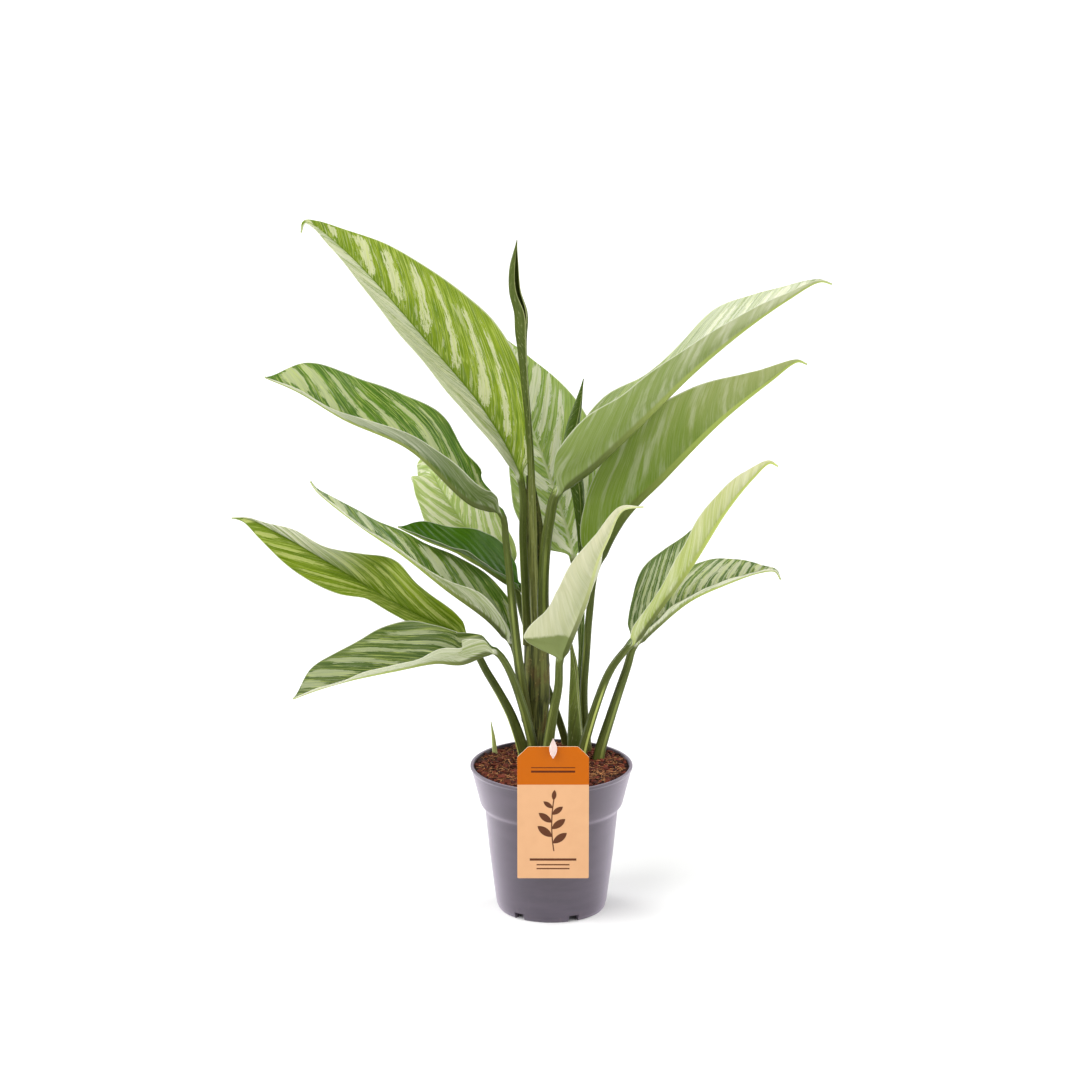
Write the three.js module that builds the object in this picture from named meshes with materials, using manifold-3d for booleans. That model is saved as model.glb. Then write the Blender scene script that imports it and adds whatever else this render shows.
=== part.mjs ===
// A potted striped aglaonema: leafy canes standing in the soil of a nursery pot, with a hanging card.
// Millimetres, +Z up, X to the right and Y away from the front; the pot rests on Z = 0.
import * as THREE from "three";
import Module from "manifold-3d";

const wasm = await Module();
wasm.setup();

// Pot
const RIM_RADIUS = 60;
const POT_HEIGHT = 110;
const LIP_HEIGHT = 1.6;
const COLLAR_TOP_RADIUS = 59.2;
const COLLAR_BOTTOM_RADIUS = 52.6;
const COLLAR_BOTTOM = 81;
const BODY_TOP_RADIUS = 49.3;
const BODY_TOP = 77;
const BODY_BOTTOM_RADIUS = 41.5;
const BODY_BOTTOM = 8;
const FOOT_RADIUS = 39.5;
const POT_WALL = 1.6;
const FLOOR_UNDER = 6;
const FLOOR_TOP = 8;
const HUB_RADIUS = 16;
const FOOT_INNER_RADIUS = 35.5;
const NOTCH_WIDTH = 8;
const NOTCH_HEIGHT = 5;
const NOTCH_COUNT = 6;
const NOTCH_FIRST_TURN = 24;
const POT_SIDES = 42;

// Soil
const SOIL_TOP = 109;
const SOIL_EDGE_TOP = 107.6;
const SOIL_BOTTOM = 8.3;
const SOIL_GAP = 0.42;
const HOLE_BOTTOM = 95;
const FOOT_BOTTOM = 96;

// Label
const CARD_WIDTH = 52;
const CARD_TOP = 144;
const CARD_BOTTOM = 43;
const CARD_CORNER = 8;
const CARD_THICKNESS = 0.8;
const CARD_BACK = -60.6;
const CARD_CENTRE_X = 1;
const CARD_HOLE_RADIUS = 2.4;
const CARD_HOLE_Z = 140.8;
const PIN_RADIUS = 1.2;
const PIN_FOOT = [1, -50];
const PIN_HEAD_BOTTOM = 136;
const PIN_HEAD_TOP = 151;
const PIN_HEAD_RADIUS = 2.9;

// Leaves
const BLADE_THICKNESS = 0.7;
const TIP_WIDTH = 0.35;
const BLADE_STATIONS = 15;
const STALK_STATIONS = 6;
const BASE_ROUNDING = 0.1;
const UPRIGHT_FOOT = 14;
const FACING = new THREE.Vector3(0, -0.96, 0.28);

// Each leaf: points of the stalk, points of the midrib, half widths of the two halves from base to tip,
// the turn of the blade about its midrib, the lift of its halves and their curl, in millimetres and degrees.
const LEAVES = {
  leaf_top_left: {
    stalk: [[-18, 20, 196.3], [-18, 20, 205], [-19, 20, 230], [-21, 20, 276], [-23, 26, 322]],
    rib: [[-49, 42, 368], [-91, 58, 416], [-135, 74, 464], [-160, 82, 487], [-173, 84, 497], [-181, 84, 500],
      [-184, 82, 493]],
    radius: [3.3, 2.6],
    sheath: 0,
    left: [16, 26, 40, 45, 41, 36, 27, 12, 0],
    right: [14, 22, 41, 48, 45, 37, 26, 11, 0],
    turn: [-28, -30, -30],
    fold: [34, 36, 32],
    curl: [14, 14, 10],
  },
  leaf_mid_left: {
    stalk: [[-18, 13, 140], [-20, 10, 156], [-24, -2, 189], [-29, -5, 240], [-33, 0, 279], [-37, 4, 302]],
    rib: [[-58, 0, 312], [-102, -8, 354], [-149, -14, 377], [-182, -18, 398], [-205, -22, 409]],
    radius: [4.2, 2.5],
    sheath: 0.8,
    left: [14, 28, 34, 34, 30, 26, 18, 8, 0],
    right: [12, 26, 27, 36, 35, 35, 32, 24, 0],
    turn: [-78, -70, -63, -61, -59],
    fold: [36, 35, 34, 30, 28],
    curl: [10, 10, 8],
  },
  leaf_upper_right: {
    stalk: [[-5.5, 17, 196.3], [-5.5, 17, 205], [-6.5, 16, 232], [-5.5, 13, 263], [-2, 10, 293], [4, 6, 317]],
    rib: [[30, -6, 343], [65, -20, 380], [100, -38, 419], [134, -56, 452], [164, -72, 477], [186, -84, 492],
      [194, -88, 491]],
    radius: [4.8, 3.9],
    sheath: 0,
    left: [24, 32, 42, 32, 32, 39, 26, 12, 0],
    right: [10, 33, 40, 31, 28, 23, 17, 9, 0],
    turn: [78, 86, 90, 90, 86, 84, 84],
    fold: [45, 38, 34, 30, 28, 25, 25],
    curl: [14, 14, 10],
  },
  leaf_mid_right: {
    stalk: [[27, 34, 96], [27, 34, 110], [24, 33, 149], [26, 30, 189], [28, 27, 218], [33, 20, 256]],
    rib: [[51, 16, 294], [80, 4, 328], [121, -30, 380], [153, -60, 415], [172, -80, 434], [178, -84, 433]],
    radius: [3.2, 2.6],
    sheath: 0,
    left: [14, 26, 36, 40, 38, 32, 22, 11, 0],
    right: [16, 27, 39, 42, 42, 35, 25, 12, 0],
    turn: [130, 128, 124, 115, 100],
    fold: [28, 31, 34, 32, 30],
    curl: [10, 12, 8],
  },
  leaf_cream: {
    stalk: [[-4, 2, 96], [-4, 2, 110], [0.5, -1, 146], [5, -5, 172], [6, -8, 194]],
    rib: [[10, -10, 206], [18, -18, 228], [25, -26, 250], [32, -42, 279], [39, -50, 297], [50, -60, 321],
      [65, -66, 325]],
    radius: [4.4, 2.8],
    sheath: 1,
    left: [8, 22, 30, 32, 32, 19, 12, 6, 0],
    right: [34, 33, 25, 23, 21, 15, 9, 4, 0],
    turn: [126, 126, 126, 124, 122, 120, 120],
    fold: [24, 24, 24],
    curl: [10, 10, 10],
  },
  leaf_low_right: {
    stalk: [[22, 12, 96], [22, 12, 110], [34, 7, 157], [44, 1, 184], [58, -5, 205]],
    rib: [[72, -12, 228], [98, -24, 268], [125, -38, 316], [143, -46, 341], [155, -50, 353], [161, -52, 351]],
    radius: [3.9, 2.7],
    sheath: 0.6,
    left: [10, 19, 29, 25, 17, 11, 7, 4, 0],
    right: [8, 18, 18, 21, 22, 21, 16, 11, 0],
    turn: [66, 68, 70, 73, 80, 88, 94, 96, 96],
    fold: [35, 35, 35],
    curl: [12, 12, 8],
  },
  leaf_lowest_right: {
    stalk: [[35, 15, 96], [35, 15, 110], [44, 15, 143], [55.5, 14, 180], [61.5, 14, 199]],
    rib: [[78, 14, 216], [101, 14, 234], [129, 15, 246], [152, 14, 254], [164, 12, 255], [168, 10, 249]],
    radius: [4.4, 2.8],
    sheath: 0.6,
    left: [12, 18, 22, 24, 25, 23, 15, 5, 0],
    right: [5, 9, 16, 20, 22, 20, 14, 6, 0],
    turn: [64, 64, 64],
    fold: [26, 26, 24],
    curl: [8, 8, 8],
  },
  leaf_narrow_left: {
    stalk: [[-22.4, 27.6, 158], [-23.6, 27.6, 172], [-26, 24, 186], [-30, 20, 199]],
    rib: [[-44, 10, 219], [-76, -2, 247], [-107, -12, 275], [-138, -20, 299], [-168, -28, 326], [-173, -30, 334]],
    radius: [2.6, 2.4],
    sheath: 0,
    left: [5, 14, 25, 26, 24, 21, 16, 9, 0],
    right: [14, 21, 27, 26, 21, 19, 14, 8, 0],
    turn: [-60, -68, -70, -70, -73, -75, -76],
    fold: [45, 42, 34, 20, 16, 14, 12],
    curl: [10, 8, 4, 4],
  },
  leaf_dark_left: {
    stalk: [[-8.5, 36.4, 178], [-9, 38, 200], [-14, 39, 222], [-24, 37, 236]],
    rib: [[-35, 33, 244], [-64, 24, 265], [-90, 14, 278], [-103, 10, 285], [-112, 8, 290]],
    radius: [2.6, 2.4],
    sheath: 0,
    left: [6, 12, 17, 19, 19, 17, 13, 7, 0],
    right: [18, 27, 31, 29, 24, 20, 18, 12, 0],
    turn: [-70, -70, -70],
    fold: [20, 20, 20],
    curl: [8, 8, 8],
  },
  leaf_open_left: {
    stalk: [[-20, 16, 96], [-20, 16, 110], [-29, 15, 141], [-37, 14, 158], [-47, 13, 176], [-62, 13, 201]],
    rib: [[-101, 24, 219], [-133, 36, 234], [-165, 44, 252], [-197, 50, 270], [-225, 54, 283], [-237, 56, 283]],
    radius: [3.9, 2.6],
    sheath: 0.8,
    left: [12, 20, 28, 30, 25, 23, 19, 10, 0],
    right: [10, 17, 21, 28, 24, 18, 16, 6, 0],
    turn: [-20, -22, -28, -32, -8, 10, 15, 18, 18],
    fold: [38, 42, 42, 38, 40, 42, 40, 40, 30],
    curl: [10, 10, 8],
  },
  leaf_low_left: {
    stalk: [[-12, 9, 96], [-12, 9, 110], [-19, 0, 147], [-28, -8, 178], [-35, -12, 194], [-41, -12, 201]],
    rib: [[-49, -13, 201], [-66, -16, 195], [-84, -20, 197], [-115, -26, 192], [-147, -32, 186], [-172, -36, 179],
      [-188, -38, 173]],
    radius: [4.1, 2.6],
    sheath: 0.8,
    left: [10, 24, 27, 33, 33, 28, 21, 12, 0],
    right: [10, 20, 23, 34, 34, 28, 23, 17, 0],
    turn: [-60, -59, -58],
    fold: [60, 60, 44, 31, 30, 30, 28, 28, 28],
    curl: [12, 12, 8],
  },
  leaf_back: {
    stalk: [[24, 43, 96], [24, 43, 110], [24, 45, 161], [21, 48, 214], [16, 54, 254]],
    rib: [[6, 66, 290], [-14, 84, 343], [-29, 96, 382], [-40, 104, 415]],
    radius: [3.2, 2.6],
    sheath: 0,
    left: [14, 30, 35, 31, 25, 23, 19, 10, 0],
    right: [20, 33, 42, 45, 43, 38, 28, 14, 0],
    turn: [-5, -5, -5],
    fold: [12, 12, 12],
    curl: [6, 6, 6],
  },
  leaf_arching_back: {
    stalk: [[11, 45, 96], [11, 45, 110], [-5, 48, 160], [-20, 52, 205], [-31, 56, 240]],
    rib: [[-61, 70, 269], [-82, 88, 296], [-89, 106, 304], [-92, 128, 296], [-94, 148, 276]],
    radius: [3, 2.4],
    sheath: 0,
    left: [12, 18, 24, 31, 24, 18, 15, 9, 0],
    right: [12, 20, 26, 27, 21, 16, 13, 8, 0],
    turn: [-17, -17, -17],
    fold: [20, 20, 16, 8, 6],
    curl: [6, 6, 6],
  },
};

// Round shoots: points of the axis, the radius along it and how flat the section is.
const SHOOTS = {
  cane: {
    axis: [[-11, 24, 96], [-11, 24, 115], [-11, 24, 150], [-11, 24, 185], [-11, 24, 196]],
    radius: [6.5, 6.8, 8.4, 9.6, 9.4],
    rows: 10,
    plain: true,
  },
  cane_sheath: {
    axis: [[-11, 29, 180], [-11, 31.8, 189], [-10, 33.8, 197], [-9.5, 34, 212], [-10.5, 34, 250], [-13, 34, 285],
      [-16, 33, 322]],
    radius: [5, 7.4, 7.6, 7.6, 7, 5.2, 2.6],
    rows: 12,
    plain: true,
    flat: 0.17,
  },
  shoot_right: {
    axis: [[18, 24, 96], [18, 24, 110], [17, 24, 150], [16.5, 24, 180], [15, 24, 192], [14, 24, 201]],
    radius: [6.4, 6.2, 5, 3.8, 2.6, 0.5],
    rows: 12,
  },
  spear_top: {
    axis: [[-12, 28.5, 196.3], [-12, 28.5, 205], [-13, 27, 240], [-14, 25, 298], [-16, 24, 350], [-20, 23, 400],
      [-22, 21, 430], [-22.3, 21, 446], [-26.5, 20, 462], [-27.3, 20, 476], [-26.5, 20, 488], [-25, 20, 500]],
    radius: [3.3, 3.3, 3.3, 3.2, 3.1, 3, 2.9, 2.7, 2.6, 2.7, 3, 3.6, 5, 4.4, 3.4, 0.4],
    rows: 24,
  },
  spear_right: {
    axis: [[18, 39, 96], [18, 39, 110], [22, 39, 180], [22, 39, 266], [19, 40, 310], [14, 40, 335],
      [15.5, 40, 356], [19.5, 40, 374], [23.3, 40, 393]],
    radius: [2.2, 2.2, 2.2, 2.2, 2.2, 2.2, 2.3, 2.6, 4, 5.6, 5.8, 3.6, 0.4],
    rows: 18,
  },
  shoot_small: {
    axis: [[-42, 28, 96], [-42, 28, 106], [-43, 28, 120], [-45, 28, 134]],
    radius: [1.9, 1.9, 1.4, 0.35],
    rows: 7,
  },
};
const SHOOT_SIDES = 12;
const WRAP_STEP = 0.12;

const MATERIALS = {
  leaf: { color: "#7e9a45", roughness: 0.5 },
  leaf_blue: { color: "#6f8f4c", roughness: 0.5 },
  leaf_dark: { color: "#3f6a22", roughness: 0.5 },
  cream: { color: "#dcdcc0", roughness: 0.55 },
  cane: { color: "#6f7142", roughness: 0.6 },
  shoot: { color: "#8a9450", roughness: 0.55 },
  pale: { color: "#d6dfa8", roughness: 0.55 },
  pot: { color: "#57525a", roughness: 0.5 },
  soil: { color: "#4a2c20", roughness: 0.95 },
  card: { color: "#eeb87a", roughness: 0.6 },
  pin: { color: "#e6e2e0", roughness: 0.15, transparent: true, opacity: 0.6 },
};

const MATERIAL_OF = {
  leaf_mid_left: "leaf_blue",
  leaf_low_left: "leaf_blue",
  leaf_lowest_right: "leaf_blue",
  leaf_dark_left: "leaf_dark",
  leaf_cream: "cream",
  cane: "cane",
  shoot_right: "cane",
  spear_top: "shoot",
  spear_right: "shoot",
  shoot_small: "pale",
};

function smooth(x) {
  const c = Math.min(Math.max(x, 0), 1);
  return c * c * (3 - 2 * c);
}

// Value at t (0..1) of evenly spaced keys, as a smooth curve through them.
function keyed(keys, t) {
  const x = t * (keys.length - 1);
  const i = Math.min(Math.floor(x), keys.length - 2);
  const f = x - i;
  const a = keys[Math.max(i - 1, 0)];
  const b = keys[i];
  const c = keys[i + 1];
  const d = keys[Math.min(i + 2, keys.length - 1)];
  return b + 0.5 * f * (c - a + f * (2 * a - 5 * b + 4 * c - d + f * (3 * (b - c) + d - a)));
}

// The smooth line through a list of points, measured along its length.
class Spine {
  constructor(points) {
    this.curve = new THREE.CatmullRomCurve3(points.map((p) => new THREE.Vector3(...p)), false, "centripetal");
    this.count = (points.length - 1) * 24;
    this.points = [];
    this.lengths = [0];
    for (let i = 0; i <= this.count; i++) {
      this.points.push(this.curve.getPoint(i / this.count));
      if (i) this.lengths.push(this.lengths[i - 1] + this.points[i].distanceTo(this.points[i - 1]));
    }
    this.length = this.lengths[this.count];
  }

  lengthAtKnot(k) {
    return this.lengths[k * 24];
  }

  at(s) {
    const want = Math.min(Math.max(s, 0), this.length);
    let i = 1;
    while (i < this.count && this.lengths[i] < want) i++;
    const f = (want - this.lengths[i - 1]) / Math.max(this.lengths[i] - this.lengths[i - 1], 1e-9);
    return this.points[i - 1].clone().lerp(this.points[i], f);
  }

  along(s) {
    return this.at(s + 0.5).sub(this.at(s - 0.5)).normalize();
  }
}

// A closed body from rings of equal size, with a flat face at each end.
function loft(rings) {
  const size = rings[0].length;
  const position = [];
  const index = [];
  for (const ring of rings) for (const p of ring) position.push(p.x, p.y, p.z);
  for (let r = 0; r + 1 < rings.length; r++) {
    for (let k = 0; k < size; k++) {
      const a = r * size + k;
      const b = r * size + ((k + 1) % size);
      const c = b + size;
      const d = a + size;
      // The upper and the lower face of a blade get the same diagonal.
      if (k < size / 2) index.push(a, b, c, a, c, d);
      else index.push(a, b, d, b, c, d);
    }
  }
  const last = (rings.length - 1) * size;
  const half = size / 2;
  for (let k = 0; k + 1 < half; k++) {
    const m = size - 1 - k;
    index.push(k, m, k + 1);
    index.push(k + 1, m, m - 1);
    index.push(last + k, last + k + 1, last + m);
    index.push(last + k + 1, last + m - 1, last + m);
  }
  const g = new THREE.BufferGeometry();
  g.setAttribute("position", new THREE.Float32BufferAttribute(position, 3));
  g.setIndex(index);
  return g;
}

// The places across half a blade where its section has points, 0 at the midrib and 1 at the margin.
const ACROSS = [1, 0.58, 0.14, 0];

// Lengths along a stalk at which it has a ring, one of them just above the soil or the seat.
function stalkStations(base) {
  const list = [0];
  for (let i = 0; i + 1 < STALK_STATIONS; i++) {
    list.push(UPRIGHT_FOOT + (base - UPRIGHT_FOOT) * i / (STALK_STATIONS - 1));
  }
  return list;
}

function leafGeometry(leaf) {
  const spine = new Spine([...leaf.stalk, ...leaf.rib]);
  const base = spine.lengthAtKnot(leaf.stalk.length - 1);
  const stations = [];
  for (const s of stalkStations(base)) stations.push([s, s / base, -1]);
  for (let i = 0; i <= BLADE_STATIONS; i++) {
    const t = 0.5 - 0.5 * Math.cos(Math.PI * i / BLADE_STATIONS);
    stations.push([base + (spine.length - base) * t, 1, t]);
  }
  const rings = stations.map(([s, a, t]) => {
    const p = spine.at(s);
    const along = spine.along(s);
    const facing = FACING.clone().addScaledVector(along, -FACING.dot(along)).normalize();
    const side = facing.clone().cross(along);
    const turn = THREE.MathUtils.degToRad(keyed(leaf.turn, Math.max(t, 0)));
    const up = facing.clone().multiplyScalar(Math.cos(turn)).addScaledVector(side, Math.sin(turn));
    const across = side.clone().multiplyScalar(Math.cos(turn)).addScaledVector(facing, -Math.sin(turn));
    const inBlade = Math.max(t, 0);
    const radius = t < 0
      ? leaf.radius[0] + (leaf.radius[1] - leaf.radius[0]) * a
      : leaf.radius[1] * (1 - t) + TIP_WIDTH;
    const sheath = leaf.sheath * (1 - smooth(a / 0.7));
    const rounding = Math.sqrt(1 - (1 - Math.min(inBlade / BASE_ROUNDING, 1)) ** 2);
    const opening = smooth(inBlade / 0.05);
    const upper = [];
    const lower = [];
    for (const hand of [1, -1]) {
      const wide = keyed(hand > 0 ? leaf.left : leaf.right, inBlade);
      const width = Math.max(radius + (wide - radius) * rounding, TIP_WIDTH);
      const fold = THREE.MathUtils.degToRad(keyed(leaf.fold, inBlade));
      const curl = THREE.MathUtils.degToRad(keyed(leaf.curl, inBlade));
      ACROSS.forEach((q, k) => {
        if (hand < 0 && q === 0) return;
        const angle = fold + curl * q / 2;
        const bow = Math.max(curl * q / 2, 1e-6);
        const reach = width * q * Math.sin(bow) / bow;
        const edge = fold + curl * q;
        const middle = p.clone()
          .addScaledVector(across, hand * reach * Math.cos(angle))
          .addScaledVector(up, reach * Math.sin(angle));
        const normal = up.clone().multiplyScalar(Math.cos(edge));
        if (q > 0) normal.addScaledVector(across, -hand * Math.sin(edge));
        normal.normalize();
        const ridge = q === 0 ? radius * 1.5 : q < 0.3 ? radius * 0.5 : 0;
        const top = middle.clone().addScaledVector(normal, BLADE_THICKNESS / 2);
        const under = middle.clone().addScaledVector(normal, -BLADE_THICKNESS / 2 - ridge);
        const seat = (k + 0.5) * Math.PI / 7;
        const round = Math.cos(seat) * (radius + sheath);
        const tall = Math.sin(seat) * radius;
        const roundTop = p.clone().addScaledVector(across, hand * round).addScaledVector(up, tall);
        const roundUnder = p.clone().addScaledVector(across, hand * round).addScaledVector(up, -tall);
        const place = hand > 0 ? k : 6 - k;
        upper[place] = roundTop.lerp(top, opening);
        lower[place] = roundUnder.lerp(under, opening);
      });
    }
    return [...upper, ...lower.reverse()];
  });
  return loft(rings);
}

function shootGeometry(shoot) {
  const spine = new Spine(shoot.axis);
  const rings = [];
  for (let i = 0; i <= shoot.rows; i++) {
    const t = i === 1 ? Math.min(UPRIGHT_FOOT / spine.length, 1 / shoot.rows) : i / shoot.rows;
    const p = spine.at(spine.length * t);
    const along = spine.along(spine.length * t);
    const back = new THREE.Vector3(0, 1, 0).addScaledVector(along, -along.y).normalize();
    const right = along.clone().cross(back).negate();
    const radius = keyed(shoot.radius, t);
    const ring = [];
    for (let k = 0; k < SHOOT_SIDES; k++) {
      // The radius grows a little round the shoot, so the rolled margin shows as a low step.
      const grow = 1 + WRAP_STEP * (k / SHOOT_SIDES - 0.5) * (shoot.plain ? 0 : 1);
      const angle = Math.PI * 2 * (k + 0.5) / SHOOT_SIDES;
      ring.push(p.clone()
        .addScaledVector(right, radius * grow * Math.cos(angle))
        .addScaledVector(back, radius * grow * (shoot.flat ?? 1) * Math.sin(angle)));
    }
    rings.push(ring);
  }
  return loft(rings);
}

function turned(points, sides) {
  const outline = points.map(([r, z]) => new THREE.Vector2(r, z));
  const g = new THREE.LatheGeometry(outline, sides);
  g.rotateX(Math.PI / 2);
  return g;
}

function toSolid(geometry) {
  const source = geometry.index ? geometry.toNonIndexed() : geometry;
  const place = new Map();
  const vertices = [];
  const triangles = [];
  const a = source.attributes.position.array;
  for (let i = 0; i < a.length; i += 3) {
    const key = [a[i], a[i + 1], a[i + 2]].map((v) => Math.round(v * 1e4)).join();
    if (!place.has(key)) {
      place.set(key, vertices.length / 3);
      vertices.push(a[i], a[i + 1], a[i + 2]);
    }
    triangles.push(place.get(key));
  }
  const kept = [];
  for (let i = 0; i < triangles.length; i += 3) {
    const [p, q, r] = triangles.slice(i, i + 3);
    if (p !== q && q !== r && p !== r) kept.push(p, q, r);
  }
  return new wasm.Manifold(new wasm.Mesh({
    numProp: 3,
    vertProperties: new Float32Array(vertices),
    triVerts: new Uint32Array(kept),
  }));
}

function toGeometry(solid) {
  const m = solid.getMesh();
  const position = [];
  for (let i = 0; i < m.numVert; i++) {
    for (let k = 0; k < 3; k++) position.push(m.vertProperties[i * m.numProp + k]);
  }
  const g = new THREE.BufferGeometry();
  g.setAttribute("position", new THREE.Float32BufferAttribute(position, 3));
  g.setIndex([...m.triVerts]);
  return g;
}

function potGeometry() {
  const outer = [
    [0, 0], [HUB_RADIUS, 0], [HUB_RADIUS, FLOOR_UNDER], [FOOT_INNER_RADIUS, FLOOR_UNDER], [FOOT_INNER_RADIUS, 0],
    [FOOT_RADIUS, 0], [FOOT_RADIUS + 1.2, 3], [BODY_BOTTOM_RADIUS, BODY_BOTTOM],
    [BODY_TOP_RADIUS, BODY_TOP], [COLLAR_BOTTOM_RADIUS, COLLAR_BOTTOM],
    [COLLAR_TOP_RADIUS, POT_HEIGHT - LIP_HEIGHT - 1], [RIM_RADIUS, POT_HEIGHT - LIP_HEIGHT],
    [RIM_RADIUS, POT_HEIGHT - 0.6], [RIM_RADIUS - 0.8, POT_HEIGHT],
  ];
  const inner = [
    [COLLAR_TOP_RADIUS - POT_WALL, POT_HEIGHT], [COLLAR_TOP_RADIUS - POT_WALL, POT_HEIGHT - LIP_HEIGHT - 2],
    [COLLAR_BOTTOM_RADIUS - POT_WALL, COLLAR_BOTTOM + 1], [BODY_TOP_RADIUS - POT_WALL, BODY_TOP],
    [BODY_BOTTOM_RADIUS - POT_WALL, FLOOR_TOP], [0, FLOOR_TOP],
  ];
  let pot = toSolid(turned([...outer, ...inner], POT_SIDES));
  for (let i = 0; i < NOTCH_COUNT; i++) {
    const cutter = new THREE.BoxGeometry(NOTCH_WIDTH, 14, NOTCH_HEIGHT * 2);
    cutter.translate(0, -FOOT_RADIUS, 0);
    cutter.rotateZ(THREE.MathUtils.degToRad(NOTCH_FIRST_TURN + 360 * i / NOTCH_COUNT));
    pot = pot.subtract(toSolid(cutter));
  }
  return toGeometry(pot);
}

// Everything that stands in the soil: place, radius of its hole and depth to which the hole goes.
function footings() {
  const list = [];
  for (const leaf of Object.values(LEAVES)) {
    if (leaf.stalk[0][2] === FOOT_BOTTOM) list.push([leaf.stalk[0], leaf.radius[0] + leaf.sheath]);
  }
  for (const shoot of Object.values(SHOOTS)) {
    if (shoot.axis[0][2] === FOOT_BOTTOM) list.push([shoot.axis[0], Math.max(shoot.radius[0], shoot.radius[1])]);
  }
  list.push([[PIN_FOOT[0], PIN_FOOT[1], FOOT_BOTTOM], PIN_RADIUS]);
  return list;
}

function soilGeometry() {
  const inset = POT_WALL + SOIL_GAP;
  const profile = [
    [0, SOIL_BOTTOM], [BODY_BOTTOM_RADIUS - inset, SOIL_BOTTOM], [BODY_TOP_RADIUS - inset, BODY_TOP],
    [COLLAR_BOTTOM_RADIUS - inset, COLLAR_BOTTOM + 1.2], [COLLAR_TOP_RADIUS - inset - 0.1, SOIL_EDGE_TOP],
    [COLLAR_TOP_RADIUS - 10, SOIL_TOP], [0, SOIL_TOP],
  ];
  let soil = toSolid(turned(profile, POT_SIDES));
  for (const [p, radius] of footings()) {
    const cutter = new THREE.CylinderGeometry(radius * 1.06 + 0.45, radius * 1.06 + 0.45, 40, 14);
    cutter.rotateX(Math.PI / 2);
    cutter.translate(p[0], p[1], HOLE_BOTTOM + 20);
    soil = soil.subtract(toSolid(cutter));
  }
  return toGeometry(soil);
}

function cardGeometry() {
  const half = CARD_WIDTH / 2;
  const outline = new THREE.Shape([
    new THREE.Vector2(-half, CARD_BOTTOM), new THREE.Vector2(half, CARD_BOTTOM),
    new THREE.Vector2(half, CARD_TOP - CARD_CORNER), new THREE.Vector2(half - CARD_CORNER, CARD_TOP),
    new THREE.Vector2(-half + CARD_CORNER, CARD_TOP), new THREE.Vector2(-half, CARD_TOP - CARD_CORNER),
  ]);
  const hole = new THREE.Path();
  hole.absarc(0, CARD_HOLE_Z, CARD_HOLE_RADIUS, 0, Math.PI * 2);
  outline.holes.push(hole);
  const g = new THREE.ExtrudeGeometry(outline, { depth: CARD_THICKNESS, bevelEnabled: false, curveSegments: 20 });
  g.rotateX(Math.PI / 2);
  g.translate(CARD_CENTRE_X, CARD_BACK, 0);
  return toGeometry(toSolid(g));
}

// A stake in the soil that arches over the rim, passes through the card and ends in a drop-shaped head.
function pinGeometry() {
  const [x, y] = PIN_FOOT;
  const neck = CARD_HOLE_Z + CARD_HOLE_RADIUS - PIN_RADIUS - 0.5;
  const stake = shootGeometry({
    axis: [[x, y, FOOT_BOTTOM], [x, y, 126], [x, y - 3, neck - 3], [x, y - 7, neck], [x, CARD_BACK - 3, neck]],
    radius: [PIN_RADIUS, PIN_RADIUS, PIN_RADIUS, PIN_RADIUS, PIN_RADIUS],
    rows: 14,
    plain: true,
  });
  const head = shootGeometry({
    axis: [[x, CARD_BACK - 3.4, PIN_HEAD_BOTTOM], [x, CARD_BACK - 3.4, (PIN_HEAD_BOTTOM + PIN_HEAD_TOP) / 2],
      [x, CARD_BACK - 3.4, PIN_HEAD_TOP]],
    radius: [0.8, PIN_HEAD_RADIUS - 0.6, PIN_HEAD_RADIUS, 1.9, 0.5],
    rows: 10,
    plain: true,
  });
  head.translate(0, -CARD_BACK + 3.4, 0);
  head.scale(1, 0.6, 1);
  head.translate(0, CARD_BACK - 3.4, 0);
  return toGeometry(toSolid(stake).add(toSolid(head)));
}

const root = new THREE.Group();

function place(name, geometry) {
  const settings = MATERIALS[MATERIAL_OF[name] || name] || MATERIALS.leaf;
  geometry.computeVertexNormals();
  const mesh = new THREE.Mesh(geometry, new THREE.MeshStandardMaterial({ metalness: 0, ...settings }));
  mesh.name = name;
  root.add(mesh);
}

place("pot", potGeometry());
place("soil", soilGeometry());
place("card", cardGeometry());
place("pin", pinGeometry());
const { cane, cane_sheath: sheath, ...shoots } = SHOOTS;
place("cane", toGeometry(toSolid(shootGeometry(cane)).add(toSolid(shootGeometry(sheath)))));
for (const [name, shoot] of Object.entries(shoots)) place(name, shootGeometry(shoot));
for (const [name, leaf] of Object.entries(LEAVES)) place(name, leafGeometry(leaf));

export default root;
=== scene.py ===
"""A potted striped aglaonema: leaves, shoots, soil, nursery pot and hanging card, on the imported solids."""
import bisect
import random
from functools import cached_property, partialmethod
from math import cos, exp, hypot, pi, radians, sin, sqrt
from types import SimpleNamespace

import bmesh
import bpy
from mathutils import Matrix, Vector, noise


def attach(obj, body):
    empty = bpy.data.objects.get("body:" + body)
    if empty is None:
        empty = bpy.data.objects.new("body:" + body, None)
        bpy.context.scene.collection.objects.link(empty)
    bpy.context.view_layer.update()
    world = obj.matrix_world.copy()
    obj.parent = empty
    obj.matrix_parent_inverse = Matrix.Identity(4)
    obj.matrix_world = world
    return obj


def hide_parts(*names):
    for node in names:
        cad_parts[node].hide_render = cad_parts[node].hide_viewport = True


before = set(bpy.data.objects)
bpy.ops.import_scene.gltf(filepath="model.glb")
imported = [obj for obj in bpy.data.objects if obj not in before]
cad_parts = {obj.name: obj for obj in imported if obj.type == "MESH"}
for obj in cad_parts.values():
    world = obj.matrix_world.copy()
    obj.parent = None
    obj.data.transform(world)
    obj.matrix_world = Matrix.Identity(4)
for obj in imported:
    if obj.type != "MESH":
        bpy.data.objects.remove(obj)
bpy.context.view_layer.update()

BODY = "root"
MM = 0.001
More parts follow.
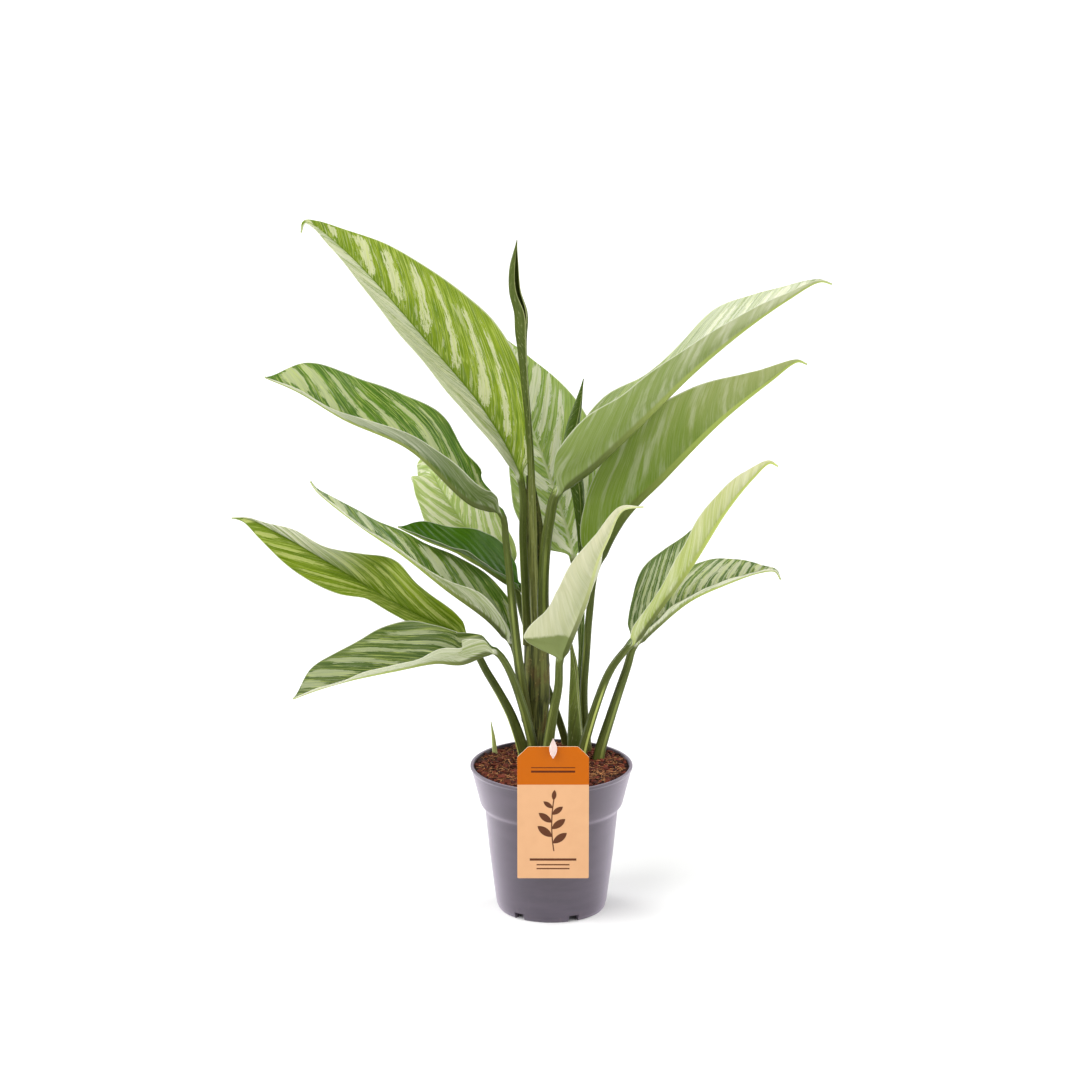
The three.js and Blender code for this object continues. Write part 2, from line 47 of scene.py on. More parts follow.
TURN = 2 * pi

# Camera, in millimetres
CAMERA_PLACE = (-8.5, -2889.64, 1088.09)
CAMERA_TARGET = (-8.5, 0.0, 281.9)
CAMERA_LENS = 137.4
CAMERA_SENSOR = 36.0

# Studio, in metres: the camera's reach, half the floor's side, the sky's strength, and each light's name,
# place, strength and width in degrees
CAMERA_REACH = 50
FLOOR_HALF_SIDE = 14.0
SKY_STRENGTH = 0.34
LIGHTS = (
    ("key_light", (-2.4, -1.8, 3.2), 2.6, 50),
    ("right_light", (3.0, -1.2, 1.6), 1.5, 42),
    ("left_rim_light", (-2.8, 2.2, 1.2), 2.0, 35),
    ("right_rim_light", (2.8, 2.2, 1.2), 1.8, 35),
)

# Pot, in millimetres
RIM_RADIUS = 60
POT_HEIGHT = 110
LIP_BOTTOM = 108.4
COLLAR_TOP_RADIUS = 59.2
COLLAR_BOTTOM_RADIUS = 52.6
COLLAR_BOTTOM = 81
BODY_TOP_RADIUS = 49.3
BODY_TOP = 77
BODY_MIDDLE_RADIUS = 46
BODY_MIDDLE = 44
BODY_BOTTOM_RADIUS = 41.5
BODY_BOTTOM = 8
FOOT_RADIUS = 39.5
FOOT_INNER_RADIUS = 35.5
HUB_RADIUS = 16
POT_WALL = 1.6
FLOOR_UNDER = 6
FLOOR_TOP = 8
POT_STEPS = 144
ROUNDING_STEPS = 4
# The pot's section, from the middle of its underside round to the middle of its floor: radius, height and
# the rounding of the corner
POT_SECTION = (
    (0, 0, 0), (HUB_RADIUS, 0, 0.5), (HUB_RADIUS, FLOOR_UNDER, 0), (FOOT_INNER_RADIUS, FLOOR_UNDER, 0),
    (FOOT_INNER_RADIUS, 0, 0), (FOOT_RADIUS, 0, 0.8), (FOOT_RADIUS + 1.2, 3, 0.8),
    (BODY_BOTTOM_RADIUS, BODY_BOTTOM, 1.5), (BODY_MIDDLE_RADIUS, BODY_MIDDLE, 0),
    (BODY_TOP_RADIUS, BODY_TOP, 1.4), (COLLAR_BOTTOM_RADIUS, COLLAR_BOTTOM, 1.6),
    (COLLAR_TOP_RADIUS, LIP_BOTTOM - 1, 0.8), (RIM_RADIUS, LIP_BOTTOM, 0.7),
    (RIM_RADIUS, POT_HEIGHT - 0.3, 0.5), (RIM_RADIUS - 0.8, POT_HEIGHT, 0.4),
    (COLLAR_TOP_RADIUS - POT_WALL, POT_HEIGHT, 0.4), (COLLAR_TOP_RADIUS - POT_WALL, LIP_BOTTOM - 2, 0),
    (COLLAR_BOTTOM_RADIUS - POT_WALL, COLLAR_BOTTOM + 1, 0), (BODY_TOP_RADIUS - POT_WALL, BODY_TOP, 0),
    (BODY_BOTTOM_RADIUS - POT_WALL, FLOOR_TOP, 0), (0, FLOOR_TOP, 0),
)
# Drain notches in the foot: how many, the first one's bearing in degrees, and their width, length and height
NOTCH_COUNT = 6
NOTCH_FIRST_TURN = 24
NOTCH_SIZE = (8, 14, 5)

# Soil, in millimetres
SOIL_TOP = 108.8
SOIL_EDGE_TOP = 108.2
SOIL_RADIUS = 57.2
SOIL_BOTTOM = 8.3
SOIL_INSET = 2.1
SOIL_STEPS = 150
SOIL_RINGS = 44
# Lumps by their spacing, the layer of noise and their height; a hollow and a heap by centre, height, spread
SOIL_LUMPS = ((9, 3.1, 1.1), (3.2, 7.7, 0.9))
SOIL_MOUNDS = ((-36, 30, -2.2, 40), (2, 22, 1.0, 500))
SOIL_SEED = 11
# Crumbs and fibres: how many, how far inside the soil's edge, and the least and the greatest of their sizes;
# lengths and heights of crumbs are shares of their size
CRUMB_COUNT = 1300
CRUMB_INSET = 1.6
CRUMB_SIZE = (0.5, 2.0)
CRUMB_LENGTH = (0.8, 1.9)
CRUMB_HEIGHT = (0.4, 0.9)
CRUMB_TILT = (-0.7, 0.7)
CRUMB_LIFT = 0.2
CRUMB_UNEVENNESS = 0.18
FIBRE_COUNT = 1100
FIBRE_INSET = 4.5
FIBRE_LENGTH = (3, 10)
FIBRE_RADIUS = (0.12, 0.26)
FIBRE_BEND = (-1.2, 1.2)
FIBRE_RISE = (-0.15, 0.35)
FIBRE_LIFT = (0.3, 1.3)
FIBRE_ROWS = 6
FIBRE_SIDES = 3

# Card, in millimetres: the plate, then what is printed on it
CARD_WIDTH = 52
CARD_TOP = 144
CARD_BOTTOM = 43
CARD_CORNER = 8
CARD_THICKNESS = 0.8
CARD_CORNER_ROUNDING = 0.9
CARD_EDGE_ROUNDING = 0.12
CARD_BACK = -60.6
CARD_CENTRE_X = 1
CARD_HOLE_RADIUS = 2.4
CARD_HOLE_Z = 140.8
CARD_BAND_Z = 115
PRINT_EDGE = 0.12
# Rules by height, half length and half thickness
CARD_RULES = ((57.5, 17, 0.9), (53.5, 12, 0.5), (50.5, 12, 0.5), (125, 16, 0.8), (128, 16, 0.35))
# The sprig: its stem bends with the square of the height over its middle; its leaves by side, height of the
# foot and length, its bud by foot, bearing, length and width
SPRIG_MIDDLE = 84
SPRIG_HALF_LENGTH = 20
SPRIG_HALF_WIDTH = 0.45
SPRIG_BEND = 0.004
SPRIG_SHIFT = -1
SPRIG_LEAN = 52
SPRIG_LEAF_SLIMNESS = 0.42
SPRIG_LEAVES = ((1, 70, 13), (-1, 75, 13.5), (1, 81, 12.5), (-1, 86, 12), (1, 92, 10), (-1, 97, 8.5))
SPRIG_BUD = (0.3, 103, 84, 8, 3.4)

# Pin, in millimetres
PIN_RADIUS = 1.2
PIN_X = 1
PIN_Y = -50
PIN_BOTTOM = 96
PIN_BEND_Z = 126
PIN_NECK_Z = CARD_HOLE_Z + CARD_HOLE_RADIUS - PIN_RADIUS - 0.5
PIN_NECK_Y = CARD_BACK - 3
PIN_HEAD_Y = CARD_BACK - 3.4
PIN_HEAD_BOTTOM = 136
PIN_HEAD_TOP = 151
PIN_HEAD_RADII = (0.5, 2.3, 2.9, 1.9, 0.3)
PIN_HEAD_FLATNESS = 0.6

# Leaves, in millimetres; a share of the blade or of the stalk is from 0 at its foot to 1 at its end
BLADE_THICKNESS = 0.7
MARGIN_THICKNESS = 0.4
TIP_WIDTH = 0.35
BASE_ROUNDING = 0.1
BASE_OPENING = 0.05
SHEATH_SHARE = 0.7
BLADE_ROWS = 120
STALK_STEP = 5.0
SPINE_SAMPLES = 24
FACING = Vector((0, -0.96, 0.28))
# Places across half a blade, from the midrib (0) to the margin (1)
HALF = (0, 0.02, 0.045, 0.08, 0.13, 0.19, 0.26, 0.34, 0.42, 0.5, 0.58, 0.66, 0.74, 0.82, 0.89, 0.95, 0.985, 1)
# Veins: how far they sweep back, and the spacing and height of the creases along them
VEIN_BEND = 1.0
VEIN_PITCH = 13.0
VEIN_RELIEF = 0.3
# Waves of the margin: their height and how many of the two kinds there are along a blade
WAVE_HEIGHT = 0.54
WAVE_COUNTS = (3.1, 5.3)
# The midrib: its height below the blade in radii of the stalk, its groove above, and the stalk's channel
RIB_RIDGE = 1.5
RIB_GROOVE = 0.5
STALK_CHANNEL = 0.22
# A clasped leaf leaves the side of the cane: over this length its foot thins and closes in on the cane
CLASP_LENGTH = 14
CLASP_REACH = 2.65
CLASP_THINNING = 0.75

# Colours are red, green and blue from 0 to 255, as they look
CREAM = (226, 226, 206)
LIME = (196, 208, 112)
# What a leaf has unless it says otherwise: greens, pale bands, underside and stalk; how bare of bands it is,
# how far apart they are, how torn and how the veins lean; how strong a painted sheen, a cream painted
# highlight, lies on which half (1 left, -1 right) and from where; the strength of the finer marks.
PLAIN = dict(
    slot="leaf_green", sheath=0, clasped=False, green=(122, 152, 18), deep=(82, 116, 8), pale=(214, 214, 172),
    under=(132, 152, 62), under_tip=(190, 196, 146), stalk_tone=(74, 84, 32), rib_tone=None, foot=None,
    bare=0, pitch=24, torn=4.2, lean=1.15, wash=0, wash_half=1, wash_from=-1, under_wash=0.7,
    thread=0.5, stroke=0.14, soft=0.28, rib_share=1, margin=0.25, shine=0.14,
)
# Each leaf: points of the stalk and the midrib, the stalk's radius at its foot and its end and how far its
# sheath widens the foot, the half widths of the blade from base to tip, the turn of the blade about its
# midrib, the lift of its halves and their curl, in millimetres and degrees; then its colours and marks.
LEAVES = {
    "leaf_top_left": dict(
        stalk=[(-18, 20, 196.3), (-18, 20, 205), (-19, 20, 230), (-21, 20, 276), (-23, 26, 322)],
        rib=[(-49, 42, 368), (-91, 58, 416), (-135, 74, 464), (-160, 82, 487), (-173, 84, 497),
             (-181, 84, 500), (-184, 82, 493)],
        radius=(3.3, 2.6), turn=(-28, -30, -30), fold=(34, 36, 32), curl=(14, 14, 10),
        left=(16, 26, 40, 45, 41, 36, 27, 12, 0), right=(14, 22, 41, 48, 45, 37, 26, 11, 0),
        green=(142, 162, 38), deep=(96, 124, 20), pale=(208, 210, 168), pitch=32, torn=4.8, wash=0.75),
    "leaf_mid_left": dict(
        stalk=[(-18, 13, 140), (-20, 10, 156), (-24, -2, 189), (-29, -5, 240), (-33, 0, 279), (-37, 4, 302)],
        rib=[(-58, 0, 312), (-102, -8, 354), (-149, -14, 377), (-182, -18, 398), (-205, -22, 409)],
        radius=(4.2, 2.5), sheath=0.8,
        turn=(-78, -70, -63, -61, -59), fold=(36, 35, 34, 30, 28), curl=(10, 10, 8),
        left=(14, 28, 34, 34, 30, 26, 18, 8, 0), right=(12, 26, 27, 36, 35, 35, 32, 24, 0),
        slot="leaf_blue_green", green=(92, 128, 22), deep=(55, 92, 10), pale=(178, 186, 136),
        under=(84, 104, 36), under_tip=(184, 190, 146), pitch=30, wash=0.75, wash_from=0.28,
        under_wash=0.25),
    "leaf_upper_right": dict(
        stalk=[(-5.5, 17, 196.3), (-5.5, 17, 205), (-6.5, 16, 232), (-5.5, 13, 263), (-2, 10, 293),
               (4, 6, 317)],
        rib=[(30, -6, 343), (65, -20, 380), (100, -38, 419), (134, -56, 452), (164, -72, 477),
             (186, -84, 492), (194, -88, 491)],
        radius=(4.8, 3.9),
        turn=(78, 86, 90, 90, 86, 84, 84), fold=(45, 38, 34, 30, 28, 25, 25), curl=(14, 14, 10),
        left=(24, 32, 42, 32, 32, 39, 26, 12, 0), right=(10, 33, 40, 31, 28, 23, 17, 9, 0),
        green=(132, 148, 84), deep=(100, 120, 54), pale=(188, 190, 164), under=(126, 146, 66),
        under_tip=(176, 182, 138), wash=0.4, wash_from=0.3, stroke=0.06),
    "leaf_mid_right": dict(
        stalk=[(27, 34, 96), (27, 34, 110), (24, 33, 149), (26, 30, 189), (28, 27, 218), (33, 20, 256)],
        rib=[(51, 16, 294), (80, 4, 328), (121, -30, 380), (153, -60, 415), (172, -80, 434), (178, -84, 433)],
        radius=(3.2, 2.6), turn=(130, 128, 124, 115, 100), fold=(28, 31, 34, 32, 30), curl=(10, 12, 8),
        left=(14, 26, 36, 40, 38, 32, 22, 11, 0), right=(16, 27, 39, 42, 42, 35, 25, 12, 0),
        under=(110, 134, 36), under_tip=(151, 160, 96), stalk_tone=(66, 76, 26), stroke=0.04, soft=0.22),
    "leaf_cream": dict(
        stalk=[(-4, 2, 96), (-4, 2, 110), (0.5, -1, 146), (5, -5, 172), (6, -8, 194)],
        rib=[(10, -10, 206), (18, -18, 228), (25, -26, 250), (32, -42, 279), (39, -50, 297), (50, -60, 321),
             (65, -66, 325)],
        radius=(4.4, 2.8), sheath=1,
        turn=(126, 126, 126, 124, 122, 120, 120), fold=(24, 24, 24), curl=(10, 10, 10),
        left=(8, 22, 30, 32, 32, 19, 12, 6, 0), right=(34, 33, 25, 23, 21, 15, 9, 4, 0),
        slot="leaf_cream", green=(150, 172, 104), under=(192, 194, 154), under_tip=(210, 207, 170),
        foot=(122, 134, 78), thread=0.08, rib_share=0.45),
    "leaf_low_right": dict(
        stalk=[(22, 12, 96), (22, 12, 110), (34, 7, 157), (44, 1, 184), (58, -5, 205)],
        rib=[(72, -12, 228), (98, -24, 268), (125, -38, 316), (143, -46, 341), (155, -50, 353),
             (161, -52, 351)],
        radius=(3.9, 2.7), sheath=0.6,
        turn=(66, 68, 70, 73, 80, 88, 94, 96, 96), fold=(35, 35, 35), curl=(12, 12, 8),
        left=(10, 19, 29, 25, 17, 11, 7, 4, 0), right=(8, 18, 18, 21, 22, 21, 16, 11, 0),
        green=(102, 126, 68), deep=(74, 98, 46), pale=(190, 197, 160), under=(160, 174, 80),
        under_tip=(198, 200, 140), bare=-0.4, pitch=12, torn=6, thread=0.3, stroke=0.25, margin=0.8),
    "leaf_lowest_right": dict(
        stalk=[(35, 15, 96), (35, 15, 110), (44, 15, 143), (55.5, 14, 180), (61.5, 14, 199)],
        rib=[(78, 14, 216), (101, 14, 234), (129, 15, 246), (152, 14, 254), (164, 12, 255), (168, 10, 249)],
        radius=(4.4, 2.8), sheath=0.6, turn=(64, 64, 64), fold=(26, 26, 24), curl=(8, 8, 8),
        left=(12, 18, 22, 24, 25, 23, 15, 5, 0), right=(5, 9, 16, 20, 22, 20, 14, 6, 0),
        slot="leaf_blue_green", green=(118, 142, 84), deep=(86, 112, 58), pale=(218, 219, 190),
        bare=-0.6, pitch=11, torn=6, lean=0.5, wash=0.9, wash_half=-1),
    "leaf_narrow_left": dict(
        stalk=[(-22.4, 27.6, 158), (-23.6, 27.6, 172), (-26, 24, 186), (-30, 20, 199)],
        rib=[(-44, 10, 219), (-76, -2, 247), (-107, -12, 275), (-138, -20, 299), (-168, -28, 326),
             (-173, -30, 334)],
        radius=(2.6, 2.4), clasped=True,
        turn=(-60, -68, -70, -70, -73, -75, -76), fold=(45, 42, 34, 20, 16, 14, 12), curl=(10, 8, 4, 4),
        left=(5, 14, 25, 26, 24, 21, 16, 9, 0), right=(14, 21, 27, 26, 21, 19, 14, 8, 0),
        green=(90, 122, 28), deep=(60, 94, 16), pale=(188, 194, 156), bare=-0.15, pitch=34, wash=0.7),
    # Painted shade: this leaf's greens are darkened and its pale bands and streaks left out, for the shade it
    # lies in
    "leaf_dark_left": dict(
        stalk=[(-8.5, 36.4, 178), (-9, 38, 200), (-14, 39, 222), (-24, 37, 236)],
        rib=[(-35, 33, 244), (-64, 24, 265), (-90, 14, 278), (-103, 10, 285), (-112, 8, 290)],
        radius=(2.6, 2.4), clasped=True, turn=(-70, -70, -70), fold=(20, 20, 20), curl=(8, 8, 8),
        left=(6, 12, 17, 19, 19, 17, 13, 7, 0), right=(18, 27, 31, 29, 24, 20, 18, 12, 0),
        slot="leaf_dark_green", green=(70, 112, 4), deep=(50, 92, 2), pale=(94, 124, 26), under=(76, 108, 8),
        under_tip=(88, 120, 14), bare=3, thread=0.06, stroke=0, soft=0, shine=0.05),
    "leaf_open_left": dict(
        stalk=[(-20, 16, 96), (-20, 16, 110), (-29, 15, 141), (-37, 14, 158), (-47, 13, 176), (-62, 13, 201)],
        rib=[(-101, 24, 219), (-133, 36, 234), (-165, 44, 252), (-197, 50, 270), (-225, 54, 283),
             (-237, 56, 283)],
        radius=(3.9, 2.6), sheath=0.8, turn=(-20, -22, -28, -32, -8, 10, 15, 18, 18),
        fold=(38, 42, 42, 38, 40, 42, 40, 40, 30), curl=(10, 10, 8),
        left=(12, 20, 28, 30, 25, 23, 19, 10, 0), right=(10, 17, 21, 28, 24, 18, 16, 6, 0),
        green=(128, 150, 26), deep=(86, 112, 12), pale=(182, 190, 110), pitch=26, lean=2.6, wash=0.95,
        wash_half=-1, wash_from=0.42, margin=0.8),
    "leaf_low_left": dict(
        stalk=[(-12, 9, 96), (-12, 9, 110), (-19, 0, 147), (-28, -8, 178), (-35, -12, 194), (-41, -12, 201)],
        rib=[(-49, -13, 201), (-66, -16, 195), (-84, -20, 197), (-115, -26, 192), (-147, -32, 186),
             (-172, -36, 179), (-188, -38, 173)],
        radius=(4.1, 2.6), sheath=0.8,
        turn=(-60, -59, -58), fold=(60, 60, 44, 31, 30, 30, 28, 28, 28), curl=(12, 12, 8),
        left=(10, 24, 27, 33, 33, 28, 21, 12, 0), right=(10, 20, 23, 34, 34, 28, 23, 17, 0),
        slot="leaf_blue_green", green=(76, 98, 34), deep=(54, 76, 20), pale=(156, 164, 124), bare=-0.1,
        pitch=30, lean=2.4, wash=0.8),
    "leaf_back": dict(
        stalk=[(24, 43, 96), (24, 43, 110), (24, 45, 161), (21, 48, 214), (16, 54, 254)],
        rib=[(6, 66, 290), (-14, 84, 343), (-29, 96, 382), (-40, 104, 415)],
        radius=(3.2, 2.6), turn=(-5, -5, -5), fold=(12, 12, 12), curl=(6, 6, 6),
        left=(14, 30, 35, 31, 25, 23, 19, 10, 0), right=(20, 33, 42, 45, 43, 38, 28, 14, 0),
        green=(166, 190, 102), deep=(126, 154, 70), pale=(236, 236, 212), rib_tone=(200, 206, 162),
        bare=-0.4, pitch=26),
    "leaf_arching_back": dict(
        stalk=[(11, 45, 96), (11, 45, 110), (-5, 48, 160), (-20, 52, 205), (-31, 56, 240)],
        rib=[(-61, 70, 269), (-82, 88, 296), (-89, 106, 304), (-92, 128, 296), (-94, 148, 276)],
        radius=(3, 2.4), turn=(-17, -17, -17), fold=(20, 20, 16, 8, 6), curl=(6, 6, 6),
        left=(12, 18, 24, 31, 24, 18, 15, 9, 0), right=(12, 20, 26, 27, 21, 16, 13, 8, 0),
        green=(180, 198, 122), deep=(148, 170, 88), pale=(226, 226, 198), bare=-0.3, pitch=15),
}

# Rolled shoots: points of the axis; the radius, the turns of the roll and the bearing of its first edge in
# degrees, from foot to tip; the rows of the mesh; the colours of the foot, the tip and the streaks.
ROLL_PLACES = 26
SHOOTS = {
    "spear_top": dict(
        axis=[(-12, 28.5, 196.3), (-12, 28.5, 205), (-13, 27, 240), (-14, 25, 298), (-16, 24, 350),
              (-20, 23, 400), (-22, 21, 430), (-22.3, 21, 446), (-26.5, 20, 462), (-27.3, 20, 476),
              (-26.5, 20, 488), (-25, 20, 500)],
        radius=(3.3, 3.3, 3.3, 3.2, 3.1, 3, 2.9, 2.7, 2.6, 2.7, 3, 3.6, 5, 4.4, 3.4, 0.4),
        turns=(1.3, 1.3, 1.3, 1.3, 1.3, 1.3, 1.3, 1.3, 1.2, 0.95, 0.8, 0.8),
        first=(200, 200, 190, 180, 180, 180, 190, 210, 250, 320, 350, 360), thickness=0.55, rows=180,
        tones=((150, 154, 84), (80, 94, 32), (54, 64, 22)), slot="shoot"),
    "spear_right": dict(
        axis=[(18, 39, 96), (18, 39, 110), (22, 39, 180), (22, 39, 266), (19, 40, 310), (14, 40, 335),
              (15.5, 40, 356), (19.5, 40, 374), (23.3, 40, 393)],
        radius=(2.2, 2.2, 2.2, 2.2, 2.2, 2.2, 2.3, 2.6, 4, 5.6, 5.8, 3.6, 0.4),
        turns=(1.2, 1.2, 1.2, 1.15, 1.1, 1.05), first=(150, 170, 200, 230, 260, 290),
        thickness=0.55, rows=110, tones=((76, 94, 30), (70, 92, 20), (48, 66, 12)), slot="shoot"),
    "shoot_right": dict(
        axis=[(18, 24, 96), (18, 24, 110), (17, 24, 150), (16.5, 24, 180), (15, 24, 192), (14, 24, 201)],
        radius=(6.4, 6.2, 5, 3.8, 2.6, 0.5), turns=(1.05, 1.02, 0.98, 0.9), first=(330, 320, 310, 300),
        thickness=0.55, rows=60, tones=((84, 98, 38), (108, 122, 50), (58, 66, 24)), slot="stem"),
    "shoot_small": dict(
        axis=[(-42, 28, 96), (-42, 28, 106), (-43, 28, 120), (-45, 28, 134)],
        radius=(1.9, 1.9, 1.4, 0.35), turns=(1.1, 1.1), first=(200, 220),
        thickness=0.4, rows=30, tones=((226, 224, 184), (192, 206, 120), (160, 176, 96)), slot="shoot_pale"),
}

# The cane, with its leaf scars as shares of its length, and the flat sheath that stands on it
CANE_AXIS = [(-11, 24, 96), (-11, 24, 115), (-11, 24, 150), (-11, 24, 185), (-11, 24, 196), (-11, 24, 203)]
CANE_RADIUS = (6.5, 6.8, 8.4, 9.6, 9.4, 9.0)
CANE_CENTRE = Vector(CANE_AXIS[0]).xy
CANE_SCARS = (0.16, 0.34, 0.55, 0.78)
SHEATH_AXIS = [(-11, 29, 180), (-11, 31.8, 189), (-10, 33.8, 197), (-9.5, 34, 212), (-10.5, 34, 250),
               (-13, 34, 285), (-16, 33, 322)]
SHEATH_RADIUS = (5, 7.4, 7.6, 7.6, 7, 5.2, 2.6)
SHEATH_FLATNESS = 0.17


def smooth(x):
    c = min(max(x, 0.0), 1.0)
    return c * c * (3 - 2 * c)


def mix(a, b, share):
    return a + (b - a) * share


def keyed(keys, t):
    """The value at t (0 to 1) of evenly spaced keys, on a smooth curve through them."""
    x = min(max(t, 0.0), 1.0) * (len(keys) - 1)
    i = min(int(x), len(keys) - 2)
    f = x - i
    a, b, c, d = keys[max(i - 1, 0)], keys[i], keys[i + 1], keys[min(i + 2, len(keys) - 1)]
    return b + 0.5 * f * (c - a + f * (2 * a - 5 * b + 4 * c - d + f * (3 * (b - c) + d - a)))


def srgb(*levels):
    """A colour given in 0 to 255 as it looks, as the linear colour that the shaders use."""
    linear = [c / 255 / 12.92 if c < 10.3 else ((c / 255 + 0.055) / 1.055) ** 2.4 for c in levels]
    return (*linear, 1.0)


class Spine:
    """The smooth line through a list of points, measured along its length."""

    def __init__(self, points):
        knots = [Vector(p) for p in points]
        self.line = [knots[0]]
        self.lengths = [0.0]
        self.knot_lengths = [0.0]
        for i in range(len(knots) - 1):
            b, c = knots[i], knots[i + 1]
            a = knots[i - 1] if i else 2 * b - c
            d = knots[i + 2] if i + 2 < len(knots) else 2 * c - b
            before, here, after = ((q - p).length ** 0.5 for p, q in ((a, b), (b, c), (c, d)))
            leaving = ((b - a) / before - (c - a) / (before + here) + (c - b) / here) * here
            arriving = ((c - b) / here - (d - b) / (here + after) + (d - c) / after) * here
            for k in range(1, SPINE_SAMPLES + 1):
                f = k / SPINE_SAMPLES
                p = b + leaving * f + (3 * (c - b) - 2 * leaving - arriving) * f ** 2
                p = p + (2 * (b - c) + leaving + arriving) * f ** 3
                self.lengths.append(self.lengths[-1] + (p - self.line[-1]).length)
                self.line.append(p)
            self.knot_lengths.append(self.lengths[-1])
        self.length = self.lengths[-1]

    def at(self, s):
        s = min(max(s, 0.0), self.length)
        i = min(max(bisect.bisect_left(self.lengths, s), 1), len(self.line) - 1)
        low, high = self.lengths[i - 1], self.lengths[i]
        return self.line[i - 1].lerp(self.line[i], (s - low) / max(high - low, 1e-9))

    def along(self, s):
        return (self.at(s + 0.5) - self.at(s - 0.5)).normalized()

    def frame(self, share):
        """The point at a share of the length, and the directions back and right of the line there."""
        s = self.length * share
        along = self.along(s)
        guide = Vector((0, 1, 0)) if abs(along.y) < 0.95 else Vector((0, 0, 1))
        back = (guide - along * along.dot(guide)).normalized()
        return self.at(s), back, back.cross(along)


class Wire:
    """A socket that takes part in Python expressions."""

    def __init__(self, finish, socket):
        self.finish, self.socket = finish, socket

    def maths(self, operation, *others):
        return self.finish.calculate(operation, self, *others)

    def __rsub__(self, other):
        return self.finish.calculate("SUBTRACT", other, self)

    __add__ = __radd__ = partialmethod(maths, "ADD")
    __sub__ = partialmethod(maths, "SUBTRACT")
    __mul__ = partialmethod(maths, "MULTIPLY")
    __truediv__ = partialmethod(maths, "DIVIDE")
    __pow__ = partialmethod(maths, "POWER")
    __abs__ = partialmethod(maths, "ABSOLUTE")


class Finish:
    """A material made of nodes."""

    def __init__(self, name):
        self.material = bpy.data.materials.new(name)
        self.material.use_nodes = True
        self.tree = self.material.node_tree
        self.tree.nodes.clear()

    def add(self, kind, values=None, out=0, **settings):
        """A node of that kind, its settings first, then the values or wires of its sockets; its output."""
        node = self.tree.nodes.new(kind)
        for key, value in settings.items():
            setattr(node, key, value)
        for key, value in (values or {}).items():
            if isinstance(value, Wire):
                self.tree.links.new(value.socket, node.inputs[key])
            else:
                node.inputs[key].default_value = value
        return Wire(self, node.outputs[out])

    def calculate(self, operation, *values):
        return self.add("ShaderNodeMath", dict(enumerate(values)), operation=operation)

    def parts(self, vector):
        node = self.add("ShaderNodeSeparateXYZ", {0: vector}).socket.node
        return [Wire(self, socket) for socket in node.outputs]

    @cached_property
    def place(self):
        """Where a point is on the object, in millimetres."""
        return [axis * (1 / MM) for axis in self.parts(self.add("ShaderNodeTexCoord", out="Object"))]

    def chart(self, name):
        """The two values of a piece's own UV map."""
        return self.parts(self.add("ShaderNodeUVMap", uv_map=name))[:2]

    def grain(self, x, y, z, detail=2, roughness=0.5):
        """Noise around 0.5 that varies once per unit of x, y and z."""
        spot = self.add("ShaderNodeCombineXYZ", {0: x, 1: y, 2: z})
        values = {"Vector": spot, "Scale": 1.0, "Detail": detail, "Roughness": roughness}
        return self.add("ShaderNodeTexNoise", values)

    def spots(self, wide, high=None, detail=2, roughness=0.5):
        """Noise around 0.5 in spots so wide and so high, in millimetres."""
        x, y, z = self.place
        return self.grain(x / wide, y / wide, z / (high or wide), detail, roughness)

    def step(self, value, low, high):
        """0 below low, 1 above high and smooth between; the other way round if high is below low."""
        values = {"Value": value, "From Min": low, "From Max": high}
        return self.add("ShaderNodeMapRange", values, interpolation_type="SMOOTHSTEP")

    def blend(self, share, first, second):
        """From the first colour (share 0) to the second (share 1)."""
        first, second = (c if isinstance(c, Wire) else srgb(*c) for c in (first, second))
        values = {0: share, 6: first, 7: second}
        return self.add("ShaderNodeMix", values, 2, data_type="RGBA", clamp_factor=True)

    def layers(self, colour, *coats):
        """The colour under further ones, each of them given with its share."""
        for share, coat in coats:
            colour = self.blend(share, colour, coat)
        return colour

    def surface(self, colour, roughness, relief=None, depth=0.1, **constants):
        """The shader and the output; relief is a height from 0 to 1 and depth its size in millimetres."""
        values = {"Base Color": colour, "Roughness": roughness}
        if relief is not None:
            bump = {"Strength": 1.0, "Distance": depth * MM, "Height": relief}
            values["Normal"] = self.add("ShaderNodeBump", bump)
        for name, value in constants.items():
            values[name.replace("_", " ")] = value
        shader = self.add("ShaderNodeBsdfPrincipled", values)
        output = self.tree.nodes.new("ShaderNodeOutputMaterial")
        self.tree.links.new(shader.socket, output.inputs["Surface"])
        return self.material


